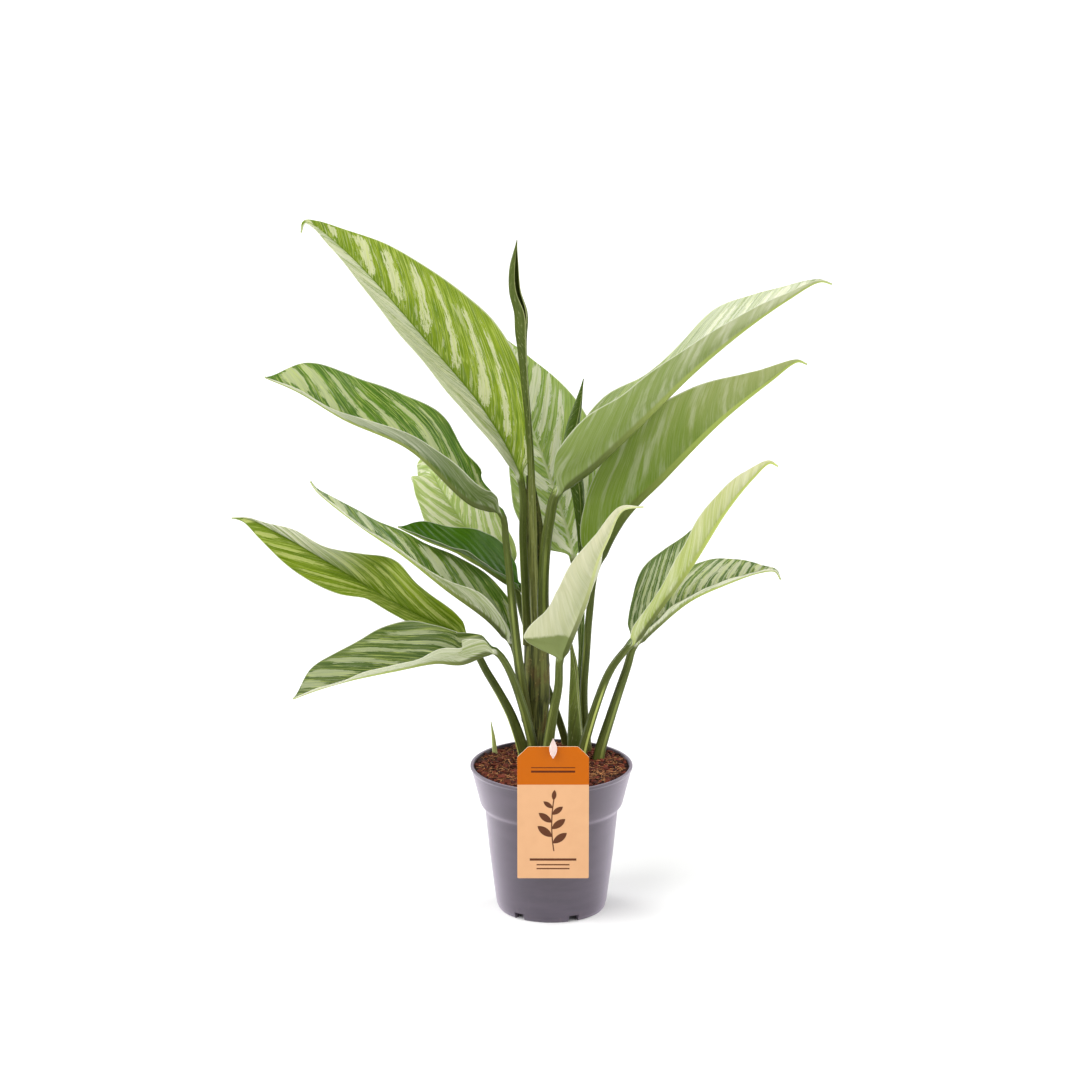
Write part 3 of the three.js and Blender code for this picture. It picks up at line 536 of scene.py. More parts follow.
def leaf_finish(leaf):
    """Bands and a painted highlight on the face, a plainer underside, the midrib on both and the stalk.
    The chart "place" is in millimetres from the blade's foot and from the rib (the left half above 0). In
    "share", x runs from the rib (0) over the margin (1) to the rib of the underside (2), and t is the share
    of the blade, below 0 on the stalk."""
    look = leaf.plan
    f = Finish(leaf.name + "_finish")
    along, side = f.chart("place")
    x, t = f.chart("share")
    out = abs(side)
    hand = side.maths("SIGN")
    q = 1 - abs(1 - x)
    under = f.step(x, 0.99, 1.01)
    seed = leaf.number * 7.3
    # Marks follow the veins, which leave the rib at a slant and sweep towards the tip
    vein = along - out * look.lean - out * out * (VEIN_BEND / leaf.half_width) + hand * (5.7 + leaf.number)

    def grain(across, lengthwise, layer, detail=2, roughness=0.5):
        """Noise in marks so wide across and so long along the veins, in millimetres."""
        return f.grain(vein / across, out / lengthwise, seed + layer, detail, roughness)

    tear = grain(3.2, 5.5, hand * 3, 5, 0.78)
    drift = grain(44, 60, hand * 5 + 20, 1)
    patch = grain(17, 15, hand * 7 + 40)
    brush = grain(1.3, 18, 110, 3, 0.65)
    mottle = grain(3.0, 12, 60, 4, 0.65)
    thread = grain(3.4, 24, hand * 4 + 130)
    stroke = grain(2.2, 34, 170, 3, 0.7)
    soft = grain(15, 34, 150, 4, 0.6)
    # Bands fade towards the tip and the margin and begin a little out from the rib
    swing = vein / look.pitch + drift * 1.2
    wave = (swing * TURN).maths("SINE")
    bare = (0.5 + look.bare - f.step(t, 0.55, 1.0) * 0.7 + f.step(q, 0.66, 1.02) * 1.3
            + f.step(out, 7.0, 1.0) * 0.8)
    band = f.step(wave - bare + (patch - 0.5) * 2.2 + (tear - 0.5) * look.torn, -0.03, 0.06)
    thin_wave = ((swing * 2.6 + drift * 2 + 0.3) * TURN).maths("SINE")
    thin = f.step(thin_wave + (tear - 0.5) * 4.0 + (patch - 0.5) * 2.0 - 0.9 - look.bare, 0.0, 0.25)
    thin = thin * f.step(q, 0.98, 0.75)
    line = f.step(abs(thread - 0.5), 0.03, 0.006) * look.thread
    # Painted sheen: cream over one half of the blade, streaky and stronger towards the tip, stands for a
    # highlight
    painted_sheen_share = f.step(side * look.wash_half, 0.0, 2.5) * look.wash
    painted_sheen_share = painted_sheen_share * f.step(t, look.wash_from, look.wash_from + 0.35)
    painted_sheen_share = painted_sheen_share * (0.25 + f.step(stroke, 0.44, 0.54) * 0.75)
    upper = f.layers(
        look.green,
        (f.step(mottle, 0.38, 0.64), look.deep),
        (f.step(out, 14.0, 1.0) * 0.5, look.deep),
        (f.step(brush, 0.46, 0.68) * 0.5, look.deep),
        (f.step(brush, 0.5, 0.3) * 0.25, look.pale),
        (thin * 0.42, look.pale),
        (band * (0.86 - f.step(brush, 0.46, 0.66) * 0.28), look.pale),
        (line, LIME),
        # the painted highlight on the face
        (painted_sheen_share, CREAM))
    lower = f.layers(
        look.under,
        (f.step(t + (soft - 0.5) * 0.8, 0.25, 1.0), look.under_tip),
        (f.step(q, 0.7, 0.0) * 0.2, look.deep),
        (f.step(soft, 0.5, 0.68) * look.soft, CREAM),
        (f.step(brush, 0.44, 0.66) * 0.08 + line * 0.12, look.pale),
        (f.step(mottle, 0.42, 0.7) * 0.12, look.deep),
        (f.step(stroke, 0.44, 0.60) * look.stroke, CREAM),
        # the same painted highlight, weaker on the underside
        (painted_sheen_share * look.under_wash, CREAM))
    if look.foot:
        fold = along + out * 0.3 + (mottle - 0.5) * 3
        lower = f.blend(f.step(fold, 24, 21), lower, look.foot)
    beside = out / (f.step(t, 1.3, 0.0) * 2.4 + 0.4)
    upper_rib = f.step(beside, 0.7, 0.2) * (1 - under)
    lower_rib = f.step(beside, 1.25 * look.rib_share, 0.75 * look.rib_share) * under
    rib_colour = f.blend(f.step(t, 0.05, 0.6), look.stalk_tone, f.blend(0.5, look.under, LIME))
    blade = f.layers(
        f.blend(under, upper, lower),
        (f.step(q, 0.97, 0.995) * 0.5, CREAM),
        (upper_rib * 0.75, look.rib_tone or look.deep),
        (lower_rib * 0.9, rib_colour))
    # The stalk: long streaks, fine specks, brown at the foot and a paler sheath margin low down
    streak = f.grain(along / 26, x * 6, seed + 80, 3, 0.6)
    speck = f.grain(along / 1.6, x * 14, seed + 90)
    stalk = f.layers(
        look.stalk_tone,
        (f.step(streak, 0.4, 0.68) * 0.4, (114, 126, 60)),
        (f.step(speck, 0.62, 0.74) * 0.25, (160, 168, 104)),
        (f.step(t, -0.6, -1.0) * 0.3, (96, 84, 46)),
        (f.step(q, 0.88, 0.97) * f.step(t, -0.30, -0.45) * look.margin, LIME))
    colour = f.blend(f.step(t, -0.03, 0.02), stalk, blade)
    roughness = 0.40 + under * 0.08 + (mottle - 0.5) * 0.2
    relief = brush * 0.5 + line * 0.3 + streak * 0.2
    return f.surface(colour, roughness, relief, 0.22, Specular_IOR_Level=look.shine,
                     Coat_Weight=look.shine / 2, Coat_Roughness=0.3)


def shoot_finish(roll, seed):
    """A rolled shoot: outer face, darker inner face and margins, lighter towards the foot or the tip."""
    low, high, dark = roll.plan.tones
    f = Finish(roll.name + "_finish")
    along, side = f.chart("place")
    x, t = f.chart("share")
    streak = f.grain(along / 26, side / 1.1, seed, 3, 0.6)
    fleck = f.grain(along / 5, side / 0.8, seed + 9)
    colour = f.layers(
        low,
        (f.step(t + (streak - 0.5) * 0.2, 0.15, 0.55), high),
        (f.step(streak, 0.42, 0.66) * 0.55, dark),
        (f.step(fleck, 0.58, 0.72) * 0.3, (204, 210, 150)),
        (f.step(x, 0.99, 1.01) * 0.25, dark),
        (f.step(1 - abs(1 - x), 0.94, 0.985) * 0.5, (190, 196, 130)))
    return f.surface(colour, 0.46 + (streak - 0.5) * 0.2, streak, 0.12, Specular_IOR_Level=0.2)


def cane_finish():
    """An old green cane: brown-green with long streaks, pale specks and brown leaf scars."""
    f = Finish("cane_bark")
    z = f.place[2]
    streak = f.spots(2.4, 40, 4, 0.6)
    blot = f.spots(6, 16, 3)
    speck = f.spots(0.9, 2.2)
    colour = f.layers(
        (44, 50, 18),
        (f.step(streak, 0.36, 0.64), (112, 116, 60)),
        (f.step(blot, 0.5, 0.66) * 0.45 * f.step(z, 200, 170), (98, 70, 38)),
        (f.step(speck, 0.62, 0.72) * f.step(blot, 0.45, 0.6) * 0.6, (170, 152, 92)),
        (f.step(z + (streak - 0.5) * 16, 126, 104) * 0.7, (70, 50, 34)))
    return f.surface(colour, 0.55 + (streak - 0.5) * 0.3, streak + speck * 0.4, 0.25, Specular_IOR_Level=0.2)


def pot_finish():
    """Thin black-grey nursery plastic: faint flow marks, a paler rim and a little soil dust at the foot."""
    f = Finish("pot_plastic")
    z = f.place[2]
    flow = f.spots(30, 7, 4, 0.55)
    fine = f.spots(0.5)
    smear = f.spots(9, 22, 4, 0.65)
    dust = f.step(smear + (fine - 0.5) * 0.6, 0.62, 0.74) * f.step(z, 22, 2)
    colour = f.layers(
        (48, 40, 52),
        (f.step(flow, 0.35, 0.7), (58, 49, 62)),
        (f.step(smear, 0.56, 0.78) * 0.2, (84, 74, 88)),
        (dust * 0.5, (112, 92, 80)),
        (f.step(z, 107.6, 109.6) * 0.12, (132, 124, 130)))
    roughness = 0.33 + (flow - 0.5) * 0.10 + (smear - 0.5) * 0.2
    return f.surface(colour, roughness, fine * 0.6 + flow * 0.4, 0.12, Specular_IOR_Level=0.5,
                     Sheen_Weight=0.48, Sheen_Roughness=0.6, Sheen_Tint=(0.93, 0.82, 1.0, 1.0))


def soil_finish():
    """Damp dark-brown coir and peat."""
    f = Finish("soil_bed")
    lump = f.spots(3.2, None, 4, 0.65)
    fine = f.spots(0.9, None, 3, 0.7)
    colour = f.layers(
        (16, 7, 5),
        (f.step(lump, 0.36, 0.66), (74, 34, 24)),
        (f.step(fine, 0.56, 0.70) * 0.5, (150, 88, 48)))
    return f.surface(colour, 0.95 - fine * 0.15, lump * 0.5 + fine * 0.5, 1.2, Specular_IOR_Level=0.25)


def crumb_finish(name, dark, light):
    """Crumbs or fibres, each with its own tone."""
    f = Finish(name)
    fine = f.spots(0.7, None, 3, 0.6)
    tone = f.add("ShaderNodeAttribute", out="Fac", attribute_name="tone")
    colour = f.blend(tone * 0.8 + (fine - 0.5) * 0.8 + 0.1, dark, light)
    return f.surface(colour, 0.9 - fine * 0.1, fine, 0.4, Specular_IOR_Level=0.25)


def card_finish():
    """Printed card: an orange head, a peach field with a plain sprig and rules, and a pale back."""
    f = Finish("card_print")
    x, y, v = f.place
    u = x - CARD_CENTRE_X
    fibre = f.spots(0.35, None, 3)
    cloud = f.spots(8)

    def stem_at(z):
        return (z - SPRIG_MIDDLE) * (z - SPRIG_MIDDLE) * SPRIG_BEND + SPRIG_SHIFT

    def pointed(cu, cv, bearing, long, wide):
        """Distance to a pointed leaf between two arcs, which leaves its foot at cu, cv."""
        ca, sa = cos(radians(bearing)), sin(radians(bearing))
        du, dv = u - cu, v - cv
        a = abs(du * ca + dv * sa - long / 2)
        b = abs(dv * ca - du * sa)
        sag = ((long / 2) ** 2 - (wide / 2) ** 2) / wide
        return (a * a + (b + sag) * (b + sag)) ** 0.5 - (sag + wide / 2)

    def bar(distance, half_width, reach, half_length):
        return (abs(distance) - half_width).maths("MAXIMUM", abs(reach) - half_length)

    shapes = [bar(u - stem_at(v), SPRIG_HALF_WIDTH, v - SPRIG_MIDDLE, SPRIG_HALF_LENGTH), pointed(*SPRIG_BUD)]
    for hand, rise, long in SPRIG_LEAVES:
        bearing = 90 - hand * SPRIG_LEAN
        shapes.append(pointed(stem_at(rise), rise, bearing, long, long * SPRIG_LEAF_SLIMNESS))
    for level, half_length, half_width in CARD_RULES:
        shapes.append(bar(v - level, half_width, u, half_length))
    nearest = shapes[0]
    for shape in shapes[1:]:
        nearest = nearest.maths("MINIMUM", shape)
    printed = f.step(nearest + (fibre - 0.5) * 0.25, PRINT_EDGE, -PRINT_EDGE)
    field = f.blend(f.step(v, CARD_BAND_Z - 0.15, CARD_BAND_Z + 0.15), (214, 166, 124), (184, 93, 3))
    face = f.blend(printed * 0.94, field, (72, 28, 10))
    front = f.step(y, CARD_BACK - CARD_THICKNESS + 0.2, CARD_BACK - CARD_THICKNESS + 0.05)
    colour = f.layers((244, 226, 200), (front, face), (f.step(cloud, 0.3, 0.8) * 0.06, (150, 90, 40)))
    return f.surface(colour, 0.5 + (fibre - 0.5) * 0.2, fibre, 0.03, Specular_IOR_Level=0.12)


def pin_finish():
    """Clear plastic with a faint blush."""
    f = Finish("pin_clear")
    haze = f.spots(2, 5)
    colour = f.blend(haze, (252, 232, 226), (244, 218, 210))
    return f.surface(colour, 0.2 + haze * 0.1, Transmission_Weight=0.35, IOR=1.47)


def floor_finish():
    f = Finish("studio_floor")
    colour = f.blend(f.spots(900, None, 1), (246, 246, 246), (250, 250, 250))
    return f.surface(colour, 0.7, Specular_IOR_Level=0.2)


def as_mesh(bm, name):
    """The edited mesh as finished mesh data."""
    mesh = bpy.data.meshes.new(name)
    bm.to_mesh(mesh)
    bm.free()
    return mesh


def placed(name, data):
    thing = bpy.data.objects.new(name, data)
    bpy.context.scene.collection.objects.link(thing)
    return thing


def add_piece(bm, name, finish, slot, *nodes):
    """A finished mesh, in millimetres, as a piece that rides on the body and stands for those nodes."""
    bmesh.ops.recalc_face_normals(bm, faces=bm.faces)
    bmesh.ops.scale(bm, vec=(MM, MM, MM), verts=bm.verts)
    mesh = as_mesh(bm, name)
    mesh.materials.append(finish)
    mesh.shade_smooth()
    piece = placed(name, mesh)
    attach(piece, BODY)
    if nodes:
        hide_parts(*nodes)
    return piece


def sharpen(piece, degrees):
    piece.data.set_sharp_from_angle(angle=radians(degrees))


def gathered(first, *others):
    """Several meshes as one."""
    for other in others:
        mesh = as_mesh(other, "part")
        first.from_mesh(mesh)
        bpy.data.meshes.remove(mesh)
    return first


def cut(piece, cutter):
    """Takes the cutter's volume, a mesh in millimetres, out of the piece."""
    bmesh.ops.scale(cutter, vec=(MM, MM, MM), verts=cutter.verts)
    tool = placed("cutter", as_mesh(cutter, "cutter"))
    change = piece.modifiers.new("cut", "BOOLEAN")
    change.object, change.operation, change.solver = tool, "DIFFERENCE", "EXACT"
    bpy.context.view_layer.update()
    evaluated = piece.evaluated_get(bpy.context.evaluated_depsgraph_get())
    made = bpy.data.meshes.new_from_object(evaluated)
    piece.modifiers.remove(change)
    old, piece.data, tool_mesh = piece.data, made, tool.data
    bpy.data.objects.remove(tool)
    for mesh in (old, tool_mesh):
        bpy.data.meshes.remove(mesh)


def tube_grid(rows, ring, place, chart=None):
    """A closed tube: a grid of rows along and ring places round it, put where place(row, k) says.
    chart(row, k) gives the pair of values of each of the two UV maps, "place" and "share"."""
    bm = bmesh.new()
    layers = [bm.loops.layers.uv.new(name) for name in ("place", "share")] if chart else []
    bmesh.ops.create_grid(bm, x_segments=rows - 1, y_segments=ring, size=1.0)
    spots = {v: (round((v.co.x + 1) / 2 * (rows - 1)), round((v.co.y + 1) / 2 * ring)) for v in bm.verts}
    for face in bm.faces if chart else ():
        for corner in face.loops:
            for layer, values in zip(layers, chart(*spots[corner.vert])):
                corner[layer].uv = values
    for v, (row, k) in spots.items():
        v.co = place(row, k % ring)
    seam = [v for v, (row, k) in spots.items() if k in (0, ring)]
    bmesh.ops.remove_doubles(bm, verts=seam, dist=1e-5)
    ends = [e for e in bm.edges if e.is_boundary]
    bmesh.ops.holes_fill(bm, edges=ends, sides=0)
    return bm


HALF_COUNT = len(HALF) - 1
FACE_COUNT = 2 * HALF_COUNT + 1
RING = 2 * FACE_COUNT


def ring_place(k):
    """Which half (1 left, -1 right), which place across it and whether it is the underside."""
    k %= RING
    under = k >= FACE_COUNT
    i = k - FACE_COUNT if under else k
    hand = 1 if i <= HALF_COUNT else -1
    return (-hand if under else hand), abs(HALF_COUNT - i), under


class Leaf:
    """The rows of one leaf, from the foot of its stalk to the tip of its blade."""

    def __init__(self, name, number):
        self.name, self.number = name, number
        self.plan = SimpleNamespace(**{**PLAIN, **LEAVES[name]})
        self.spine = Spine([*self.plan.stalk, *self.plan.rib])
        self.base = self.spine.knot_lengths[len(self.plan.stalk) - 1]
        self.half_width = max(*self.plan.left, *self.plan.right)
        count = max(int(self.base / STALK_STEP), 6)
        self.rows = [self.row(self.base * i / count, -1) for i in range(count)]
        for i in range(BLADE_ROWS + 1):
            t = 0.5 - 0.5 * cos(pi * i / BLADE_ROWS)
            t = mix(t, i / BLADE_ROWS, 0.5)
            self.rows.append(self.row(self.base + (self.spine.length - self.base) * t, t))

    def row(self, s, t):
        """The section at the length s, where t is the share of the blade or -1 on the stalk."""
        plan = self.plan
        along, p = self.spine.along(s), self.spine.at(s)
        facing = (FACING - along * FACING.dot(along)).normalized()
        side = facing.cross(along)
        in_blade = max(t, 0)
        a = min(s / self.base, 1)
        radius = mix(*plan.radius, a) if t < 0 else plan.radius[1] * (1 - t) + TIP_WIDTH
        if plan.clasped:
            close = 1 - smooth(s / CLASP_LENGTH)
            radius *= 1 - CLASP_THINNING * close
            p = p + ((CANE_CENTRE - p.xy).normalized() * CLASP_REACH * close).to_3d()
        rounding = sqrt(1 - (1 - min(in_blade / BASE_ROUNDING, 1)) ** 2)
        width = {hand: max(radius + (keyed(keys, in_blade) - radius) * rounding, TIP_WIDTH)
                 for hand, keys in ((1, plan.left), (-1, plan.right))}
        turn, fold, curl = (radians(keyed(keys, in_blade)) for keys in (plan.turn, plan.fold, plan.curl))
        return SimpleNamespace(
            s=s, t=t, a=a, p=p, radius=radius, width=width, fold=fold, curl=curl,
            up=facing * cos(turn) + side * sin(turn),
            across=side * cos(turn) - facing * sin(turn),
            sheath=plan.sheath * (1 - smooth(a / SHEATH_SHARE)), opening=smooth(in_blade / BASE_OPENING))

    def ripple(self, row, hand, q, out):
        """How far the blade stands off its plain surface: waves at the margin and a crease at each vein."""
        if row.t <= 0:
            return 0.0
        ends = smooth(row.t / 0.12) * smooth((1 - row.t) / 0.15)
        seed = self.number * 2.1 + (0 if hand > 0 else 1.7)
        few, many = (TURN * row.t * count for count in WAVE_COUNTS)
        wave = sin(few + seed) + 0.6 * sin(many + seed * 2)
        vein = row.s - self.base - self.plan.lean * out - VEIN_BEND * out * out / self.half_width
        crease = sin(TURN * (vein / VEIN_PITCH + 0.2 * hand))
        fade = smooth(out / 5) * smooth((1 - q) / 0.2)
        return ends * (WAVE_HEIGHT * q * q * wave + VEIN_RELIEF * crease * fade)

    def place(self, index, k):
        """The blade's surface, which the stalk's round one opens into."""
        row = self.rows[index]
        hand, step, under = ring_place(k)
        q = HALF[step]
        out = row.width[hand] * q
        angle = row.fold + row.curl * q / 2
        bow = max(row.curl * q / 2, 1e-6)
        reach = out * sin(bow) / bow
        edge = row.fold + row.curl * q
        middle = row.p + row.across * (hand * reach * cos(angle)) + row.up * (reach * sin(angle))
        normal = row.up * cos(edge)
        if q > 0:
            normal = normal - row.across * (hand * sin(edge))
        normal.normalize()
        middle = middle + normal * self.ripple(row, hand, q, out)
        thick = mix(BLADE_THICKNESS, MARGIN_THICKNESS, smooth((q - 0.85) / 0.15)) / 2
        ridge = RIB_RIDGE * row.radius * exp(-(out / row.radius) ** 2)
        groove = RIB_GROOVE * exp(-(out / max(row.radius * 0.45, 0.3)) ** 2)
        groove *= smooth(row.t / 0.1) * (1 - max(row.t, 0))
        flat = middle + normal * ((-thick - ridge) if under else (thick - groove))
        seat = pi / 2 * (1 - (step - 0.25) / HALF_COUNT) if step else pi / 2
        channel = 1 - STALK_CHANNEL * exp(-((pi / 2 - seat) / 0.5) ** 2) * smooth(row.a / 0.5)
        tall = sin(seat) * row.radius * (-1 if under else channel)
        wide = cos(seat) * (row.radius + row.sheath)
        round_place = row.p + row.across * (hand * wide) + row.up * tall
        return round_place.lerp(flat, row.opening)

    def chart(self, index, k):
        row = self.rows[index]
        hand, step, under = ring_place(k)
        q = HALF[step]
        share = (2 - q if under else q, row.t if row.t >= 0 else row.a - 1)
        return (row.s - self.base, hand * row.width[hand] * q), share


class Roll:
    """A sheet rolled round an axis, open along one side towards the tip."""

    def __init__(self, name):
        self.name, self.plan = name, SimpleNamespace(**SHOOTS[name])
        self.spine = Spine(self.plan.axis)

    def spot(self, index, k):
        """The share of the length, the share across the sheet and whether it is the inner face."""
        k %= 2 * ROLL_PLACES
        inner = k >= ROLL_PLACES
        i = 2 * ROLL_PLACES - 1 - k if inner else k
        return index / (self.plan.rows - 1), i / (ROLL_PLACES - 1), inner

    def place(self, index, k):
        plan = self.plan
        t, w, inner = self.spot(index, k)
        p, back, right = self.spine.frame(t)
        radius, turns = keyed(plan.radius, t), keyed(plan.turns, t)
        angle = radians(keyed(plan.first, t)) + TURN * turns * w
        thick = min(plan.thickness, radius * 0.5)
        lap = max(turns - 1, 0) * thick * 1.6
        reach = radius - lap * (1 - w) - (thick if inner else 0)
        return p + right * (reach * cos(angle)) + back * (reach * sin(angle))

    def chart(self, index, k):
        t, w, inner = self.spot(index, k)
        q = abs(2 * w - 1)
        return (self.spine.length * t, keyed(self.plan.radius, t) * TURN * w), (2 - q if inner else q, t)


def solid_tube(axis, radius, rows, ring, swell=None, flat=1.0):
    """A round solid along an axis; swell(t, turn) scales its radius and flat its depth."""
    spine = Spine(axis)

    def place(index, k):
        t, turn = index / (rows - 1), TURN * k / ring
        p, back, right = spine.frame(t)
        reach = keyed(radius, t) * (swell(t, turn) if swell else 1)
        return p + (right * cos(turn) + back * sin(turn) * flat) * reach

    return tube_grid(rows, ring, place)


def cane_swell(t, turn):
    """Leaf scars ring the cane, and the sheaths of fallen leaves leave low ribs."""
    scars = sum(exp(-((t - at) / 0.014) ** 2) for at in CANE_SCARS)
    ribs = sin(turn * 3 + t * 4) + 0.6 * sin(turn * 5 - t * 7)
    return 1 + 0.03 * scars + 0.025 * ribs - 0.55 * smooth((t - 0.94) / 0.06)


def sheath_swell(t, turn):
    """Fine ribs along the sheath that stands behind the petioles."""
    return 1 + 0.02 * sin(turn * 9 + t * 2)


def turned(profile, steps):
    """A profile of (radius, height) spun round the Z axis into a closed solid."""
    bm = bmesh.new()
    spots = [bm.verts.new((r, 0, z)) for r, z in profile]
    edges = [bm.edges.new(pair) for pair in zip(spots, spots[1:])]
    bmesh.ops.spin(bm, geom=[*spots, *edges], cent=(0, 0, 0), axis=(0, 0, 1), angle=TURN, steps=steps,
                   use_merge=True)
    bmesh.ops.remove_doubles(bm, verts=bm.verts, dist=1e-4)
    return bm


def rounded(section):
    """The profile of a section of (radius, height, rounding) with its corners turned into short arcs."""
    corners = [Vector(corner[:2]) for corner in section]
    out = []
    for i, (here, (_, _, size)) in enumerate(zip(corners, section)):
        if not size:
            out.append(here)
            continue
        start, end = (here + (other - here).normalized() * min(size, (other - here).length / 2)
                      for other in (corners[i - 1], corners[i + 1]))
        for k in range(ROUNDING_STEPS + 1):
            f = k / ROUNDING_STEPS
            out.append(start * (1 - f) ** 2 + here * 2 * f * (1 - f) + end * f * f)
    return out


def notch_cutter():
    """A box at each drain notch, half of it below the pot."""
    bm = bmesh.new()
    width, length, height = NOTCH_SIZE
    for i in range(NOTCH_COUNT):
        turn = radians(NOTCH_FIRST_TURN + 360 * i / NOTCH_COUNT)
        spot = Matrix.Rotation(turn, 4, "Z") @ Matrix.Translation((0, -FOOT_RADIUS, 0))
        spot = spot @ Matrix.Diagonal((width, length, height * 2, 1))
        bmesh.ops.create_cube(bm, size=1.0, matrix=spot)
    return bm


def soil_height(x, y):
    """The height of the soil at x, y: loose, a little lower at the edge and heaped at the stems."""
    out = hypot(x, y) / SOIL_RADIUS
    lumps = sum(noise.noise(Vector((x / size, y / size, layer))) * height
                for size, layer, height in SOIL_LUMPS)
    level = mix(SOIL_TOP, SOIL_EDGE_TOP, smooth((out - 0.75) / 0.25))
    level += lumps * (1 - 0.5 * smooth((out - 0.9) / 0.1))
    for centre_x, centre_y, height, spread in SOIL_MOUNDS:
        level += height * exp(-((x - centre_x) ** 2 + (y - centre_y) ** 2) / spread)
    return level


def soil_bed():
    profile = [(0, SOIL_BOTTOM), (BODY_BOTTOM_RADIUS - SOIL_INSET, SOIL_BOTTOM),
               (BODY_TOP_RADIUS - SOIL_INSET, BODY_TOP),
               (COLLAR_BOTTOM_RADIUS - SOIL_INSET, COLLAR_BOTTOM + 1.2), (SOIL_RADIUS, SOIL_EDGE_TOP - 2)]
    profile += [(SOIL_RADIUS * (1 - i / SOIL_RINGS), SOIL_TOP) for i in range(SOIL_RINGS + 1)]
    bm = turned(profile, SOIL_STEPS)
    for v in bm.verts:
        if v.co.z > SOIL_EDGE_TOP - 0.1:
            v.co.z = soil_height(v.co.x, v.co.y)
    return bm


def scatter(count, reach, rng):
    for _ in range(count):
        out, turn = reach * sqrt(rng.random()), rng.random() * TURN
        yield out * cos(turn), out * sin(turn)


def soil_crumbs(rng):
    """Chips of bark and peat on the soil, each a small uneven stone of a few faces."""
    bm = bmesh.new()
    tones = bm.verts.layers.float.new("tone")
    for x, y in scatter(CRUMB_COUNT, SOIL_RADIUS - CRUMB_INSET, rng):
        size = rng.uniform(*CRUMB_SIZE)
        turn = Matrix.Rotation(rng.random() * TURN, 4, "Z")
        tilt = Matrix.Rotation(rng.uniform(*CRUMB_TILT), 4, "X")
        stretch = (size * rng.uniform(*CRUMB_LENGTH), size, size * rng.uniform(*CRUMB_HEIGHT), 1)
        spot = Matrix.Translation((x, y, soil_height(x, y) + size * CRUMB_LIFT))
        spot = spot @ (turn @ tilt) @ Matrix.Diagonal(stretch)
        made = bmesh.ops.create_icosphere(bm, subdivisions=1, radius=1.0, matrix=spot)["verts"]
        tone = rng.random()
        for v in made:
            v[tones] = tone
            v.co += Vector([rng.uniform(-1, 1) for _ in range(3)]) * size * CRUMB_UNEVENNESS
    return bm


def unit_thread():
    """A thread of length 1 along X, as a mesh to be laid out many times."""

    def place(index, k):
        turn = TURN * k / FIBRE_SIDES
        return Vector((index / (FIBRE_ROWS - 1), cos(turn), sin(turn)))

    bm = tube_grid(FIBRE_ROWS, FIBRE_SIDES, place)
    bmesh.ops.recalc_face_normals(bm, faces=bm.faces)
    return as_mesh(bm, "unit_thread")


def soil_fibres(rng):
    """Loose coir fibres, thin bent threads that lie on the soil."""
    thread = unit_thread()
    bm = bmesh.new()
    tones = bm.verts.layers.float.new("tone")
    for x, y in scatter(FIBRE_COUNT, SOIL_RADIUS - FIBRE_INSET, rng):
        long, thick = rng.uniform(*FIBRE_LENGTH), rng.uniform(*FIBRE_RADIUS)
        turn, bend, rise = rng.random() * TURN, rng.uniform(*FIBRE_BEND), rng.uniform(*FIBRE_RISE)
        tone, lift = rng.random(), rng.uniform(*FIBRE_LIFT)
        start = len(bm.verts)
        bm.from_mesh(thread)
        bm.verts.ensure_lookup_table()
        for v in bm.verts[start:]:
            share, off = v.co.x - 0.5, v.co.yz * thick * (1 - 1.2 * (v.co.x - 0.5) ** 2)
            heading = turn + bend * share
            px = x + cos(heading) * long * share - sin(heading) * off.x
            py = y + sin(heading) * long * share + cos(heading) * off.x
            pz = soil_height(px, py) + lift + off.y + rise * long * share - 1.2 * share * share
            v.co = (px, py, pz)
            v[tones] = tone
    bpy.data.meshes.remove(thread)
    return bm


def card_plate():
    """The card's outline, given its thickness and a fine bevel round its edge."""
    half, inner, shoulder = CARD_WIDTH / 2, CARD_WIDTH / 2 - CARD_CORNER, CARD_TOP - CARD_CORNER
    outline = ((-half, CARD_BOTTOM), (half, CARD_BOTTOM), (half, shoulder), (inner, CARD_TOP),
               (-inner, CARD_TOP), (-half, shoulder))
    bm = bmesh.new()
    front = bm.faces.new([bm.verts.new((CARD_CENTRE_X + x, CARD_BACK, z)) for x, z in outline])
    made = bmesh.ops.extrude_face_region(bm, geom=[front])["geom"]
    moved = [v for v in made if isinstance(v, bmesh.types.BMVert)]
    bmesh.ops.translate(bm, vec=(0, -CARD_THICKNESS, 0), verts=moved)
    bmesh.ops.recalc_face_normals(bm, faces=bm.faces)

    def bevel(edges, offset, segments):
        bmesh.ops.bevel(bm, geom=edges, offset=offset, segments=segments, affect="EDGES", profile=0.5,
                        material=-1)

    def depth(edge):
        return abs(edge.verts[0].co.y - edge.verts[1].co.y)

    bevel([e for e in bm.edges if depth(e) > 0.1], CARD_CORNER_ROUNDING, 4)
    rims = [e for e in bm.edges if depth(e) < 0.01 and len(e.link_faces) == 2 and e.calc_face_angle(0) > 1]
    bevel(rims, CARD_EDGE_ROUNDING, 2)
    return bm


def punch():
    """The cutter of the card's hole."""
    bm = bmesh.new()
    spot = Matrix.Translation((CARD_CENTRE_X, CARD_BACK, CARD_HOLE_Z)) @ Matrix.Rotation(pi / 2, 4, "X")
    bmesh.ops.create_cone(bm, cap_ends=True, segments=40, radius1=CARD_HOLE_RADIUS, radius2=CARD_HOLE_RADIUS,
                          depth=6, matrix=spot)
    return bm


